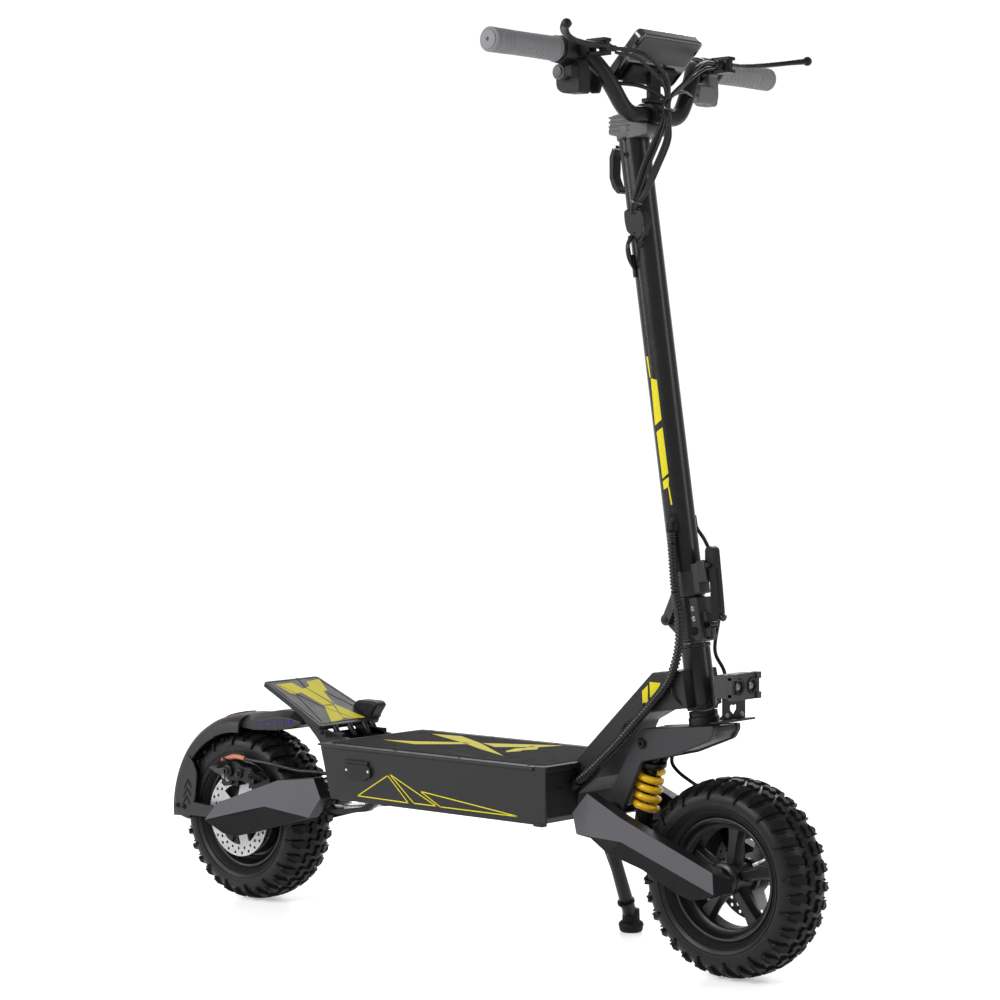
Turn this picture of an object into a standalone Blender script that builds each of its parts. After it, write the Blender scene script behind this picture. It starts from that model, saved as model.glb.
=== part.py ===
"""Electric kick scooter, as separate solids on the bodies that move.

Metres, +Z up, +X forward, +Y to the rider's left.  Inside the file every
place is given from the point on the ground below the front axle; one empty
then moves the whole scooter so that its middle stands over the origin.
"""
from math import cos, pi, radians, sin

import bmesh
import bpy
from mathutils import Matrix, Vector

# Driving dimensions
MIDDLE_X = 0.4580            # front axle to the middle of the overall length
WHEELBASE = 0.896
WHEEL_R = 0.130             # tyre radius, and the height of both axles
WHEEL_STEPS = 32
TREAD_R = WHEEL_R / cos(pi / WHEEL_STEPS)    # to the corners, so that a flat meets the ground
RIM_R = 0.0803
RIM_HALF_W = 0.028
DISC_R = 0.0625
DISC_Y = 0.041
AXLE_R = 0.006
GAP = 0.0003                # left between touching solids
BORE_GAP = 0.0004

DECK_FRONT = -0.236
DECK_REAR = -0.652
DECK_HALF_W = 0.109
DECK_TOP = 0.263
DECK_BOTTOM = 0.186
DECK_WALL = 0.004
LID_T = 0.003

HEAD_X = -0.052             # steering axis at the head's height
HEAD_Z = 0.350
RAKE = radians(8.5)
HEAD_TUBE_R = 0.0192
STEERER_R = 0.0145
FOLD_Z = 0.490              # where the stem parts from its base
FOLD_R = 0.0205
STEM_TOP = 1.105
STEM_R = 0.0205

BAR_R = 0.0110
BAR_X = -0.1585
BAR_Z = 1.197
BAR_HALF = 0.293
CLAMP_X = -0.132
CLAMP_Z = 1.122
GRIP_R = 0.0158
GRIP_LENGTH = 0.130

ARM_IN = 0.0570             # the swing arms' inner and outer faces
ARM_OUT = 0.0790
LEG_OUT = 0.0300            # the fork bracket's outer and inner faces
LEG_IN = 0.0218
LUG_OUT = 0.0550
FRONT_PIVOT = Vector((-0.175, 0, 0.203))
REAR_PIVOT = Vector((-0.695, 0, 0.172))
FRONT_AXLE = Vector((0, 0, WHEEL_R))
REAR_AXLE = Vector((-WHEELBASE, 0, WHEEL_R))
FOLD_PIVOT = Vector((-0.1005, 0, 0.460))
LATCH_PIN = Vector((-0.0350, 0, 0.534))
HOOK_PIN = Vector((-0.1885, 0, 1.084))
KICKSTAND_PIVOT = Vector((-0.279, 0.074, 0.164))
COVER_HINGE = Vector((-0.5775, -0.1105, 0.2435))
LEVER_PIVOT = Vector((-0.1065, 0.1300, 1.1985))     # left lever; the right mirrors it
PADDLE_PIVOT = Vector((BAR_X, -0.1490, BAR_Z))
BUTTON_OUT = Vector((-sin(radians(45)), 0, cos(radians(45))))
BUTTON = Vector((-0.1275, 0.052, 1.1975)) + BUTTON_OUT * 0.007

HEAD = Vector((HEAD_X, 0, HEAD_Z))
STEER_UP = Vector((-sin(RAKE), 0, cos(RAKE)))
STEER_FORWARD = Vector((cos(RAKE), 0, sin(RAKE)))


def on_axis(z, forward=0.0, y=0.0):
    """A point at height z on the steering axis, moved squarely forward."""
    return HEAD + STEER_UP * ((z - HEAD_Z) / STEER_UP.z) + STEER_FORWARD * forward + Vector((0, y, 0))


# Scene, collections and the bodies' empties
for old in list(bpy.data.objects):
    bpy.data.objects.remove(old, do_unlink=True)

parts = bpy.data.collections.new("electric_kick_scooter")
tools = bpy.data.collections.new("cutters")
bpy.context.scene.collection.children.link(parts)
bpy.context.scene.collection.children.link(tools)


def add_empty(name, place, parent=None):
    empty = bpy.data.objects.new(name, None)
    empty.empty_display_size = 0.03
    parts.objects.link(empty)
    empty.parent = parent
    empty.location = place
    return empty


ground = add_empty("ground_below_front_axle", (MIDDLE_X, 0, 0))
PIVOTS = {
    "chassis": Vector((0, 0, 0)),
    "steering": HEAD,
    "front_arm": FRONT_PIVOT,
    "front_wheel": FRONT_AXLE,
    "rear_arm": REAR_PIVOT,
    "rear_wheel": REAR_AXLE,
    "stem": FOLD_PIVOT,
    "latch_lever": LATCH_PIN,
    "fold_hook": HOOK_PIN,
    "kickstand": KICKSTAND_PIVOT,
    "charge_cover": COVER_HINGE,
    "brake_lever_left": LEVER_PIVOT,
    "brake_lever_right": Vector((LEVER_PIVOT.x, -LEVER_PIVOT.y, LEVER_PIVOT.z)),
    "throttle_paddle": PADDLE_PIVOT,
    "power_button": BUTTON,
}
bodies = {name: add_empty("pivot_" + name, place, ground) for name, place in PIVOTS.items()}

# Colour, roughness, metallic
FINISHES = {
    "black_metal": ((0.030, 0.030, 0.032, 1), 0.42, 0.6),
    "grey_metal": ((0.115, 0.112, 0.122, 1), 0.40, 0.6),
    "steel": ((0.62, 0.62, 0.64, 1), 0.28, 1.0),
    "alloy": ((0.23, 0.23, 0.24, 1), 0.36, 0.8),
    "rubber": ((0.016, 0.016, 0.017, 1), 0.82, 0.0),
    "black_plastic": ((0.022, 0.022, 0.024, 1), 0.50, 0.0),
    "grip_rubber": ((0.27, 0.27, 0.29, 1), 0.75, 0.0),
    "spring_yellow": ((0.78, 0.46, 0.02, 1), 0.35, 0.1),
    "lens": ((0.80, 0.84, 0.88, 1), 0.08, 0.0),
    "tail_lens": ((0.30, 0.01, 0.01, 1), 0.20, 0.0),
    "copper_boot": ((0.62, 0.27, 0.17, 1), 0.50, 0.0),
    "cell_blue": ((0.03, 0.07, 0.20, 1), 0.45, 0.0),
}
materials = {}
for name, (colour, roughness, metallic) in FINISHES.items():
    material = bpy.data.materials.new(name)
    material.use_nodes = True
    shader = material.node_tree.nodes["Principled BSDF"]
    shader.inputs["Base Color"].default_value = colour
    shader.inputs["Roughness"].default_value = roughness
    shader.inputs["Metallic"].default_value = metallic
    materials[name] = material


# Shapes, all made in the file's own frame
def link(name, mesh):
    thing = bpy.data.objects.new(name, mesh)
    tools.objects.link(thing)
    thing.hide_render = True
    thing.display_type = "WIRE"
    return thing


def box(low, high, name="box", turn=None):
    """A box between two corners, turned about its own middle."""
    low, high = Vector(low), Vector(high)
    mesh = bpy.data.meshes.new(name)
    bm = bmesh.new()
    bmesh.ops.create_cube(bm, size=1.0)
    bmesh.ops.scale(bm, vec=high - low, verts=bm.verts)
    if turn is not None:
        bmesh.ops.rotate(bm, matrix=turn, verts=bm.verts)
    bmesh.ops.translate(bm, vec=(low + high) / 2, verts=bm.verts)
    bm.to_mesh(mesh)
    bm.free()
    return link(name, mesh)


def rod(start, end, radius, name="rod", sides=24, end_radius=None):
    """A cylinder or cone between two points."""
    start, end = Vector(start), Vector(end)
    mesh = bpy.data.meshes.new(name)
    bm = bmesh.new()
    bmesh.ops.create_cone(bm, cap_ends=True, segments=sides, radius1=radius,
                          radius2=radius if end_radius is None else end_radius,
                          depth=(end - start).length)
    aim = (end - start).to_track_quat("Z", "Y").to_matrix().to_4x4()
    bmesh.ops.transform(bm, matrix=Matrix.Translation((start + end) / 2) @ aim, verts=bm.verts)
    bm.to_mesh(mesh)
    bm.free()
    return link(name, mesh)


def as_mesh(thing):
    """The evaluated shape as a plain welded mesh, with the thing's place baked in."""
    bpy.context.view_layer.update()
    evaluated = thing.evaluated_get(bpy.context.evaluated_depsgraph_get())
    mesh = bpy.data.meshes.new_from_object(evaluated)
    mesh.transform(thing.matrix_world)
    bm = bmesh.new()
    bm.from_mesh(mesh)
    bmesh.ops.remove_doubles(bm, verts=bm.verts, dist=0.00001)
    bmesh.ops.holes_fill(bm, edges=[edge for edge in bm.edges if edge.is_boundary])
    bmesh.ops.recalc_face_normals(bm, faces=bm.faces)
    bm.to_mesh(mesh)
    bm.free()
    name = thing.name
    bpy.data.objects.remove(thing, do_unlink=True)
    return link(name, mesh)


def plate(outline, y_low, y_high, name="plate", holes=()):
    """An outline in X and Z, with holes, between two places along Y."""
    curve = bpy.data.curves.new(name, "CURVE")
    curve.dimensions = "2D"
    curve.fill_mode = "BOTH"
    curve.extrude = (y_high - y_low) / 2
    for loop in (outline, *holes):
        spline = curve.splines.new("POLY")
        spline.points.add(len(loop) - 1)
        for point, (x, z) in zip(spline.points, loop):
            point.co = (x, z, 0, 1)
        spline.use_cyclic_u = True
    thing = link(name, curve)
    thing.rotation_euler = (pi / 2, 0, 0)
    thing.location = (0, (y_low + y_high) / 2, 0)
    return as_mesh(thing)


def smooth_route(points, step):
    """Points about a step apart on a smooth curve through the given points."""
    points = [Vector(p) for p in points]
    ends = [points[0] * 2 - points[1]] + points + [points[-1] * 2 - points[-2]]
    route = []
    for a, b, c, d in zip(ends, ends[1:], ends[2:], ends[3:]):
        count = max(1, round((c - b).length / step))
        for i in range(count):
            t = i / count
            route.append(0.5 * (2 * b + (c - a) * t + (2 * a - 5 * b + 4 * c - d) * t * t
                                + (3 * b - a - 3 * c + d) * t ** 3))
    return route + [points[-1]]


def tube(points, radius, name="tube", sides_setting=2):
    """A round bar along a list of points."""
    curve = bpy.data.curves.new(name, "CURVE")
    curve.dimensions = "3D"
    curve.bevel_depth = radius
    curve.bevel_resolution = sides_setting
    curve.use_fill_caps = True
    spline = curve.splines.new("POLY")
    spline.points.add(len(points) - 1)
    for point, place in zip(spline.points, points):
        point.co = (*place, 1)
    return as_mesh(link(name, curve))


def turned(profile, centre, name="turned", steps=WHEEL_STEPS, start=None, sweep=2 * pi):
    """A closed profile of (radius, across) turned about an axis along Y.

    Angles run upwards from straight forward; a part turn gets flat ends."""
    mesh = bpy.data.meshes.new(name)
    start = pi / steps if start is None else start
    mesh.from_pydata([(r * cos(start), -r * sin(start), across) for r, across in profile],
                     [(i, (i + 1) % len(profile)) for i in range(len(profile))], [])
    thing = link(name, mesh)
    screw = thing.modifiers.new("turn", "SCREW")
    screw.steps = steps
    screw.render_steps = steps
    screw.angle = -sweep
    screw.use_merge_vertices = True
    screw.merge_threshold = 0.00001
    thing.rotation_euler = (-pi / 2, 0, 0)
    thing.location = centre
    return as_mesh(thing)


def combine(thing, others, operation):
    """A Boolean of one mesh with each of several, which are used up."""
    for other in others:
        step = thing.modifiers.new(operation, "BOOLEAN")
        step.operation = operation
        step.solver = "EXACT"
        step.object = other
        bpy.context.view_layer.update()
        evaluated = thing.evaluated_get(bpy.context.evaluated_depsgraph_get())
        mesh = bpy.data.meshes.new_from_object(evaluated)
        thing.modifiers.clear()
        thing.data = mesh
        bpy.data.objects.remove(other, do_unlink=True)
    return thing


def join(thing, *others):
    return combine(thing, others, "UNION")


def cut(thing, *others):
    return combine(thing, others, "DIFFERENCE")


def mirrored(thing, name):
    """A copy on the scooter's other side."""
    mesh = thing.data.copy()
    mesh.transform(Matrix.Scale(-1, 4, (0, 1, 0)))
    mesh.flip_normals()
    return link(name, mesh)


def use(thing, name, body, finish, round_shape=True):
    """Make a shape a part of the scooter, on one of its bodies."""
    tools.objects.unlink(thing)
    parts.objects.link(thing)
    thing.hide_render = False
    thing.display_type = "TEXTURED"
    thing.name = name
    thing.data.name = name
    thing.data.materials.clear()
    thing.data.materials.append(materials[finish])
    if round_shape:
        thing.data.shade_smooth()
        thing.data.set_sharp_from_angle(angle=radians(35))
    thing.parent = bodies[body]
    thing.location = thing.location - PIVOTS[body]
    return thing


# Deck
def make_deck():
    outline = [(DECK_FRONT - 0.006, DECK_BOTTOM), (DECK_FRONT, DECK_BOTTOM + 0.008),
               (DECK_FRONT, DECK_TOP - LID_T - GAP), (DECK_REAR, DECK_TOP - LID_T - GAP),
               (DECK_REAR + 0.020, DECK_BOTTOM)]
    shell = plate(outline, -DECK_HALF_W, DECK_HALF_W)
    hollow = box((DECK_REAR + 0.030, -DECK_HALF_W + DECK_WALL, DECK_BOTTOM + DECK_WALL),
                 (DECK_FRONT - 0.012, DECK_HALF_W - DECK_WALL, DECK_TOP + 0.01))
    use(cut(shell, hollow), "deck_shell", "chassis", "black_metal")

    lid = box((DECK_REAR - 0.006, -DECK_HALF_W, DECK_TOP - LID_T),
              (DECK_FRONT - 0.001, DECK_HALF_W, DECK_TOP))
    use(lid, "deck_lid", "chassis", "rubber")

    floor = DECK_BOTTOM + DECK_WALL + GAP
    battery = box((-0.590, -0.085, floor), (-0.330, 0.085, floor + 0.058))
    use(battery, "battery_pack", "chassis", "cell_blue")
    controller = box((-0.322, -0.045, floor), (-0.256, 0.045, floor + 0.030))
    use(controller, "motor_controller", "chassis", "alloy")


def make_charge_cover():
    cover = box((-0.602, -0.1125, 0.218), (-0.553, -DECK_HALF_W - GAP, 0.2435))
    use(cover, "charge_cover", "charge_cover", "black_plastic")


# Neck and head
def make_neck():
    outline = [(DECK_FRONT + GAP, 0.205), (-0.232, 0.222), (-0.202, 0.245), (-0.172, 0.285),
               (-0.152, 0.321), (-0.122, 0.337), (-0.094, 0.342), (-0.048, 0.349), (-0.057, 0.397),
               (-0.106, 0.392), (DECK_FRONT + GAP, 0.268)]
    bore = rod(on_axis(0.30), on_axis(0.46), HEAD_TUBE_R + GAP)
    neck = cut(plate(outline, -0.0375, 0.0375), bore)
    use(neck, "neck", "chassis", "black_metal")

    tube_wall = cut(rod(on_axis(0.3455), on_axis(0.430), HEAD_TUBE_R),
                    rod(on_axis(0.330), on_axis(0.445), STEERER_R + BORE_GAP))
    use(tube_wall, "head_tube", "chassis", "black_metal")


def make_rear_lug():
    """Two plates below the deck's tail, joined by the swing arm's pin."""
    outline = [(-0.580, DECK_BOTTOM - GAP), (-0.612, 0.163), (-0.676, 0.153), (-0.706, 0.162),
               (-0.706, 0.184), (-0.690, 0.192), (-0.632 - GAP, DECK_BOTTOM - GAP)]
    window = [(-0.622, 0.178), (-0.632, 0.167), (-0.664, 0.164), (-0.664, 0.181)]
    lug = plate(outline, -LUG_OUT, -LUG_OUT + 0.009, holes=[window])
    other = mirrored(lug, "other")
    reach = Vector((0, ARM_OUT + 0.004, 0))
    pin = rod(REAR_PIVOT - reach, REAR_PIVOT + reach, AXLE_R)
    use(join(lug, other, pin), "rear_pivot_lug", "chassis", "black_metal")


def make_kick_plate():
    """The raised foot rest over the rear wheel, and the bracket that holds it."""
    rear, front = Vector((-0.8235, 0, 0.336)), Vector((-0.704, 0, 0.280))
    along = (rear - front).normalized()
    square = Vector((-along.z, 0, along.x)) * -1
    top = [front, rear]
    low = [rear - square * 0.007, front - square * 0.007]
    outline = [(p.x, p.z) for p in top + low]
    board = plate(outline, -0.062, 0.062)
    bar = rod(front + square * 0.020 + along * 0.012 + Vector((0, 0.022, 0)),
              front + square * 0.020 + along * 0.012 + Vector((0, 0.074, 0)), 0.0065, sides=16)
    posts = [box((-0.7105, y, 0.2785), (-0.7025, y + 0.006, 0.3035)) for y in (0.027, 0.053)]
    use(join(board, *posts, bar), "kick_plate", "chassis", "black_metal")

    under = front - square * (0.007 + GAP)
    back = front + along * 0.085 - square * (0.007 + GAP)
    outline = [(DECK_REAR - 0.006 - GAP, 0.262), (under.x + 0.006, under.z - 0.003), (under.x, under.z),
               (back.x, back.z), (back.x + 0.004, back.z - 0.006), (-0.722, 0.262), (-0.696, 0.240),
               (-0.684, 0.226), (DECK_REAR - 0.006 - GAP, 0.226)]
    use(plate(outline, -0.046, 0.046), "kick_support", "chassis", "black_metal")


def make_kickstand():
    bracket = box((-0.303, 0.046, 0.150), (-0.256, 0.062, DECK_BOTTOM - GAP))
    pin = rod(KICKSTAND_PIVOT - Vector((0, 0.020, 0)), KICKSTAND_PIVOT + Vector((0, 0.016, 0)), 0.005)
    use(join(bracket, pin), "kickstand_bracket", "chassis", "black_metal")

    foot = Vector((-0.294, 0.150, 0.0170))
    hub = rod(KICKSTAND_PIVOT - Vector((0, 0.0115, 0)), KICKSTAND_PIVOT + Vector((0, 0.0115, 0)), 0.013)
    shank = rod(KICKSTAND_PIVOT, foot + Vector((0, -0.002, 0.012)), 0.0095, end_radius=0.0115)
    pad = rod(foot, foot + Vector((0, 0, 0.014)), 0.018, end_radius=0.015)
    reach = Vector((0, 0.03, 0))
    bore = rod(KICKSTAND_PIVOT - reach, KICKSTAND_PIVOT + reach, 0.005 + BORE_GAP)
    use(cut(join(hub, shank, pad), bore), "kickstand", "kickstand", "black_metal")


# Steering head, fork bracket and headlight
def make_fork():
    steerer = rod(on_axis(0.3205), on_axis(0.4345), STEERER_R)
    use(steerer, "steerer", "steering", "steel")

    outline = [(-0.1355, 0.3155), (-0.0720, 0.3215), (-0.0125, 0.3277), (-0.0115, 0.3196),
               (-0.0190, 0.3070),
               (-0.0794, 0.2835), (-0.1310, 0.2716), (-0.1600, 0.2100), (-0.1650, 0.1930),
               (-0.1850, 0.1930),
               (-0.1870, 0.2200)]
    bracket = plate(outline, -LEG_OUT, LEG_OUT)
    under = [(-0.30, 0.10), (-0.30, 0.2880), (-0.1420, 0.3040), (-0.0900, 0.3120),
             (-0.0560, 0.3020), (-0.0560, 0.10)]
    bracket = cut(bracket, plate(under, -LEG_IN, LEG_IN))
    crown = rod(on_axis(0.316), on_axis(0.3435), 0.0205)
    socket = rod(on_axis(0.320), on_axis(0.36), STEERER_R + GAP)
    bracket = cut(join(bracket, crown), socket)
    reach = Vector((0, ARM_OUT + 0.004, 0))
    pin = rod(FRONT_PIVOT - reach, FRONT_PIVOT + reach, AXLE_R)
    spacers = []
    for side in (-1, 1):
        near = FRONT_PIVOT + Vector((0, side * (LEG_OUT - 0.002), 0))
        far = FRONT_PIVOT + Vector((0, side * (ARM_IN - GAP), 0))
        spacers.append(rod(near, far, 0.0115))
    use(join(bracket, pin, *spacers), "fork_bracket", "steering", "black_metal")

    bolt = Vector((-0.1305, 0, 0.2930))
    down = (Vector((-0.1485, 0, 0.202)) - bolt).normalized()
    strut = join(rod(bolt - Vector((0, LEG_IN - GAP, 0)), bolt + Vector((0, LEG_IN - GAP, 0)), 0.006),
                 rod(bolt - Vector((0, 0.012, 0)), bolt + Vector((0, 0.012, 0)), 0.0085),
                 rod(bolt, bolt + down * 0.068, 0.0090),
                 rod(bolt + down * 0.021, bolt + down * 0.0265, 0.0195))
    use(strut, "front_shock_body", "steering", "steel")

    start = bolt + down * (0.0265 + 0.0055)
    end = bolt + down * 0.0880
    use(coil(start, end, 0.0145, 0.0048, 3.9), "front_spring", "front_arm", "spring_yellow")


def coil(start, end, radius, wire, turns):
    """A spring's wire wound round the line between two points."""
    along = (end - start).normalized()
    side = Vector((0, 1, 0))
    other = along.cross(side)
    count = round(turns * 14)
    points = []
    for i in range(count + 1):
        turn = 2 * pi * turns * i / count
        out = side * (radius * cos(turn)) + other * (radius * sin(turn))
        points.append(start.lerp(end, i / count) + out)
    return tube(points, wire, sides_setting=1)


def make_headlight():
    foot = [(-0.0215, 0.3290), (0.0160, 0.3345), (0.0160, 0.3370), (0.0040, 0.3360), (0.0040, 0.3637),
            (-0.0030, 0.3637), (-0.0030, 0.3345), (-0.0215, 0.3312)]
    use(plate(foot, -0.024, 0.024), "headlight_bracket", "steering", "black_metal")
    case = box((-0.012, -0.030, 0.3640), (0.0165, 0.030, 0.394))
    use(case, "headlight_case", "steering", "black_plastic")
    lens = box((0.0165 + GAP, -0.0285, 0.3655), (0.0200, 0.0285, 0.3925))
    use(lens, "headlight_lens", "steering", "lens")


def make_fold_base():
    column = rod(on_axis(0.4355), on_axis(FOLD_Z), FOLD_R)
    boss = box((0.0, -0.012, -0.0270), (0.0370, 0.012, 0.0260))
    boss.data.transform(Matrix.Translation(on_axis(0.4630)) @ Matrix.Rotation(-RAKE, 4, "Y"))
    tip = FOLD_PIVOT
    knuckle = rod(tip - Vector((0, 0.0072, 0)), tip + Vector((0, 0.0072, 0)), 0.0080)
    web = box((tip.x, -0.0072, tip.z - 0.007), (-0.080, 0.0072, tip.z + 0.007))
    pin = rod(tip - Vector((0, 0.0180, 0)), tip + Vector((0, 0.0180, 0)), 0.0040)
    use(join(column, boss, web, knuckle, pin), "fold_base", "steering", "black_metal")


# Front suspension and wheel
def make_front_arm():
    outline = [(-0.187, 0.230), (-0.212, 0.202), (-0.205, 0.174), (-0.159, 0.154), (-0.100, 0.137),
               (-0.043, 0.112), (-0.020, 0.107), (0.010, 0.110), (0.023, 0.121), (0.021, 0.147),
               (-0.128, 0.204)]
    arm = plate(outline, -ARM_OUT, -ARM_IN)
    bores = [rod(place - Vector((0, 0.12, 0)), place + Vector((0, 0.12, 0)), AXLE_R + BORE_GAP)
             for place in (FRONT_PIVOT, FRONT_AXLE)]
    arm = cut(arm, *bores)
    left = mirrored(arm, "left")
    use(arm, "front_arm_right", "front_arm", "grey_metal")
    use(left, "front_arm_left", "front_arm", "grey_metal")

    seat = Vector((-0.1530, 0, 0.1875))
    up = (Vector((-0.1425, 0, 0.2535)) - Vector((-0.1485, 0, 0.202))).normalized()
    tie = join(box((-0.166, -ARM_IN + GAP, 0.1735), (-0.140, ARM_IN - GAP, 0.1835)),
               rod(seat - up * 0.006, seat + up * 0.0095, 0.0155))
    use(tie, "front_arm_tie", "front_arm", "black_metal")
    axle = rod((0, -ARM_OUT - 0.003, WHEEL_R), (0, ARM_OUT + 0.003, WHEEL_R), AXLE_R)
    use(axle, "front_axle", "front_arm", "steel")
    make_calliper(FRONT_AXLE, 1, 124, "front_calliper", "front_arm")


def make_calliper(axle, side, angle, name, body):
    """A block astride the brake disc, at an angle turned up from straight forward."""
    reach = Vector((0.058, 0, 0))
    block = box(reach - Vector((0.013, 0.0095, 0.018)), reach + Vector((0.013, 0.0095, 0.018)))
    block.data.transform(Matrix.Translation(axle + Vector((0, side * 0.0462, 0)))
                         @ Matrix.Rotation(-radians(angle), 4, "Y"))
    middle = axle + Vector((0, side * DISC_Y, 0))
    slot = rod(middle - Vector((0, 0.0019, 0)), middle + Vector((0, 0.0019, 0)), DISC_R + 0.0015, sides=48)
    use(cut(block, slot), name, body, "black_metal")


def tyre_profile():
    outer = [(0.0818, 0.0275), (0.0870, 0.0375), (0.1000, 0.0430), (0.1140, 0.0440), (0.1225, 0.0360),
             (TREAD_R, 0.0190)]
    bead = [(0.0818, -0.0250), (0.0790, -0.0225), (0.0790, 0.0225), (0.0818, 0.0250)]
    return [(r, -across) for r, across in outer] + list(reversed(outer)) + list(reversed(bead))


def make_tyre(centre, name, body):
    use(turned(tyre_profile(), centre), name, body, "rubber")


def rim_profile(inner):
    return [(inner, -0.0245), (inner, 0.0245), (0.0745, 0.0280), (RIM_R, 0.0280), (0.0813, 0.0265),
            (0.0813, 0.0252), (0.0786, 0.0228), (0.0786, -0.0228), (0.0813, -0.0252), (0.0813, -0.0265),
            (RIM_R, -0.0280), (0.0745, -0.0280)]


def make_front_wheel():
    rim = turned(rim_profile(0.0700), FRONT_AXLE)
    hub = rod(FRONT_AXLE - Vector((0, 0.0395, 0)), FRONT_AXLE + Vector((0, 0.0395, 0)), 0.0180)
    spokes = []
    for i in range(5):
        spoke = box((0.010, -0.0090, -0.0085), (0.0730, 0.0090, 0.0085))
        spoke.data.transform(Matrix.Translation(FRONT_AXLE) @ Matrix.Rotation(radians(72 * i + 18), 4, "Y"))
        spokes.append(spoke)
    bore = rod(FRONT_AXLE - Vector((0, 0.08, 0)), FRONT_AXLE + Vector((0, 0.08, 0)), AXLE_R + BORE_GAP)
    use(cut(join(rim, hub, *spokes), bore), "front_rim", "front_wheel", "black_metal")
    make_tyre(FRONT_AXLE, "front_tyre", "front_wheel")
    make_disc(FRONT_AXLE, 1, "front_brake_disc", "front_wheel")


def make_disc(centre, side, name, body):
    profile = [(0.0183, -0.0009), (DISC_R, -0.0009), (DISC_R, 0.0009), (0.0183, 0.0009)]
    disc = turned(profile, centre + Vector((0, side * DISC_Y, 0)))
    use(disc, name, body, "steel")


# Rear suspension, motor and wheel
def make_rear_arm():
    x = REAR_AXLE.x
    outline = [(x - 0.041, 0.121), (x - 0.007, 0.152), (x + 0.121, 0.196), (x + 0.192, 0.206),
               (x + 0.212, 0.190), (x + 0.214, 0.160), (x + 0.190, 0.147), (x + 0.092, 0.152),
               (x + 0.052, 0.113), (x + 0.014, 0.106), (x - 0.022, 0.108)]
    arm = plate(outline, -ARM_OUT, -ARM_IN)
    bores = [rod(place - Vector((0, 0.12, 0)), place + Vector((0, 0.12, 0)), AXLE_R + BORE_GAP)
             for place in (REAR_PIVOT, REAR_AXLE)]
    arm = cut(arm, *bores)
    left = mirrored(arm, "left")
    use(arm, "rear_arm_right", "rear_arm", "grey_metal")
    use(left, "rear_arm_left", "rear_arm", "grey_metal")
    tie = box((x + 0.150, -ARM_IN + GAP, 0.170), (x + 0.172, ARM_IN - GAP, 0.192))
    use(tie, "rear_arm_tie", "rear_arm", "black_metal")
    axle = rod((x, -ARM_OUT - 0.003, WHEEL_R), (x, ARM_OUT + 0.003, WHEEL_R), AXLE_R)
    use(axle, "rear_axle", "rear_arm", "steel")

    shock = rod((-0.7225, 0, 0.1985), (-0.6600, 0, 0.2080), 0.0120)
    use(shock, "rear_shock", "rear_arm", "steel")

    make_calliper(REAR_AXLE, -1, 95, "rear_calliper", "rear_arm")


def arc(centre, radius, start, end, count):
    """Points (x, z) on a circle, by degrees from straight forward, turning up."""
    points = []
    for i in range(count + 1):
        angle = radians(start + (end - start) * i / count)
        points.append((centre.x + radius * cos(angle), centre.z + radius * sin(angle)))
    return points


def make_fender():
    """A channel round the wheel's top and back: a crown and two side flanges."""
    centre = REAR_AXLE + Vector((0.004, 0, -0.003))
    half = [(0.1270, 0.0492), (0.1440, 0.0478), (0.1520, 0.0370), (0.1540, 0.0200)]
    inner = [(0.1270, 0.0467), (0.1430, 0.0453), (0.1497, 0.0358), (0.1514, 0.0195)]
    profile = ([(r, -y) for r, y in half] + [(r, y) for r, y in reversed(half)]
               + inner + [(r, -y) for r, y in reversed(inner)])
    shell = turned(profile, centre, steps=16, start=radians(71), sweep=radians(117))
    flaps = []
    for side in (-1, 1):
        x = REAR_AXLE.x
        flap = [(x - 0.1010, 0.2145), (x - 0.0860, 0.2020), (x - 0.0805, 0.1830), (x - 0.0860, 0.1490),
                (x - 0.0940, 0.1190), (x - 0.1050, 0.1160), (x - 0.1220, 0.1210), (x - 0.1290, 0.1390),
                (x - 0.1270, 0.1713)]
        stay = [(x - 0.0960, 0.1220), (x - 0.0900, 0.1420), (x - 0.0300, 0.1370), (x - 0.0300, 0.1240)]
        flaps.append(plate(flap, *sorted((side * 0.0470, side * 0.0515))))
        flaps.append(plate(stay, *sorted((side * 0.0500, side * (ARM_IN - GAP)))))
    use(join(shell, *flaps), "rear_fender", "rear_arm", "black_plastic")

    inside = 0.1540 + GAP
    lamp = plate(arc(centre, 0.1600, 76, 100, 5) + arc(centre, inside, 100, 76, 5), -0.0210, 0.0210)
    use(lamp, "tail_light", "rear_arm", "tail_lens")


def make_rear_wheel():
    core = [(0.0085, -0.0330), (0.0085, 0.0330), (0.0600, 0.0310)]
    profile = core + rim_profile(0.0)[2:] + [(0.0600, -0.0310)]
    motor = turned(profile, REAR_AXLE)
    bore = AXLE_R + BORE_GAP
    hub = turned([(bore, -0.0395), (bore, 0.0395), (0.0180, 0.0395), (0.0180, -0.0395)],
                 REAR_AXLE, steps=24)
    use(join(motor, hub), "rear_hub_motor", "rear_wheel", "black_metal")
    make_tyre(REAR_AXLE, "rear_tyre", "rear_wheel")
    make_disc(REAR_AXLE, -1, "rear_brake_disc", "rear_wheel")


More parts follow.
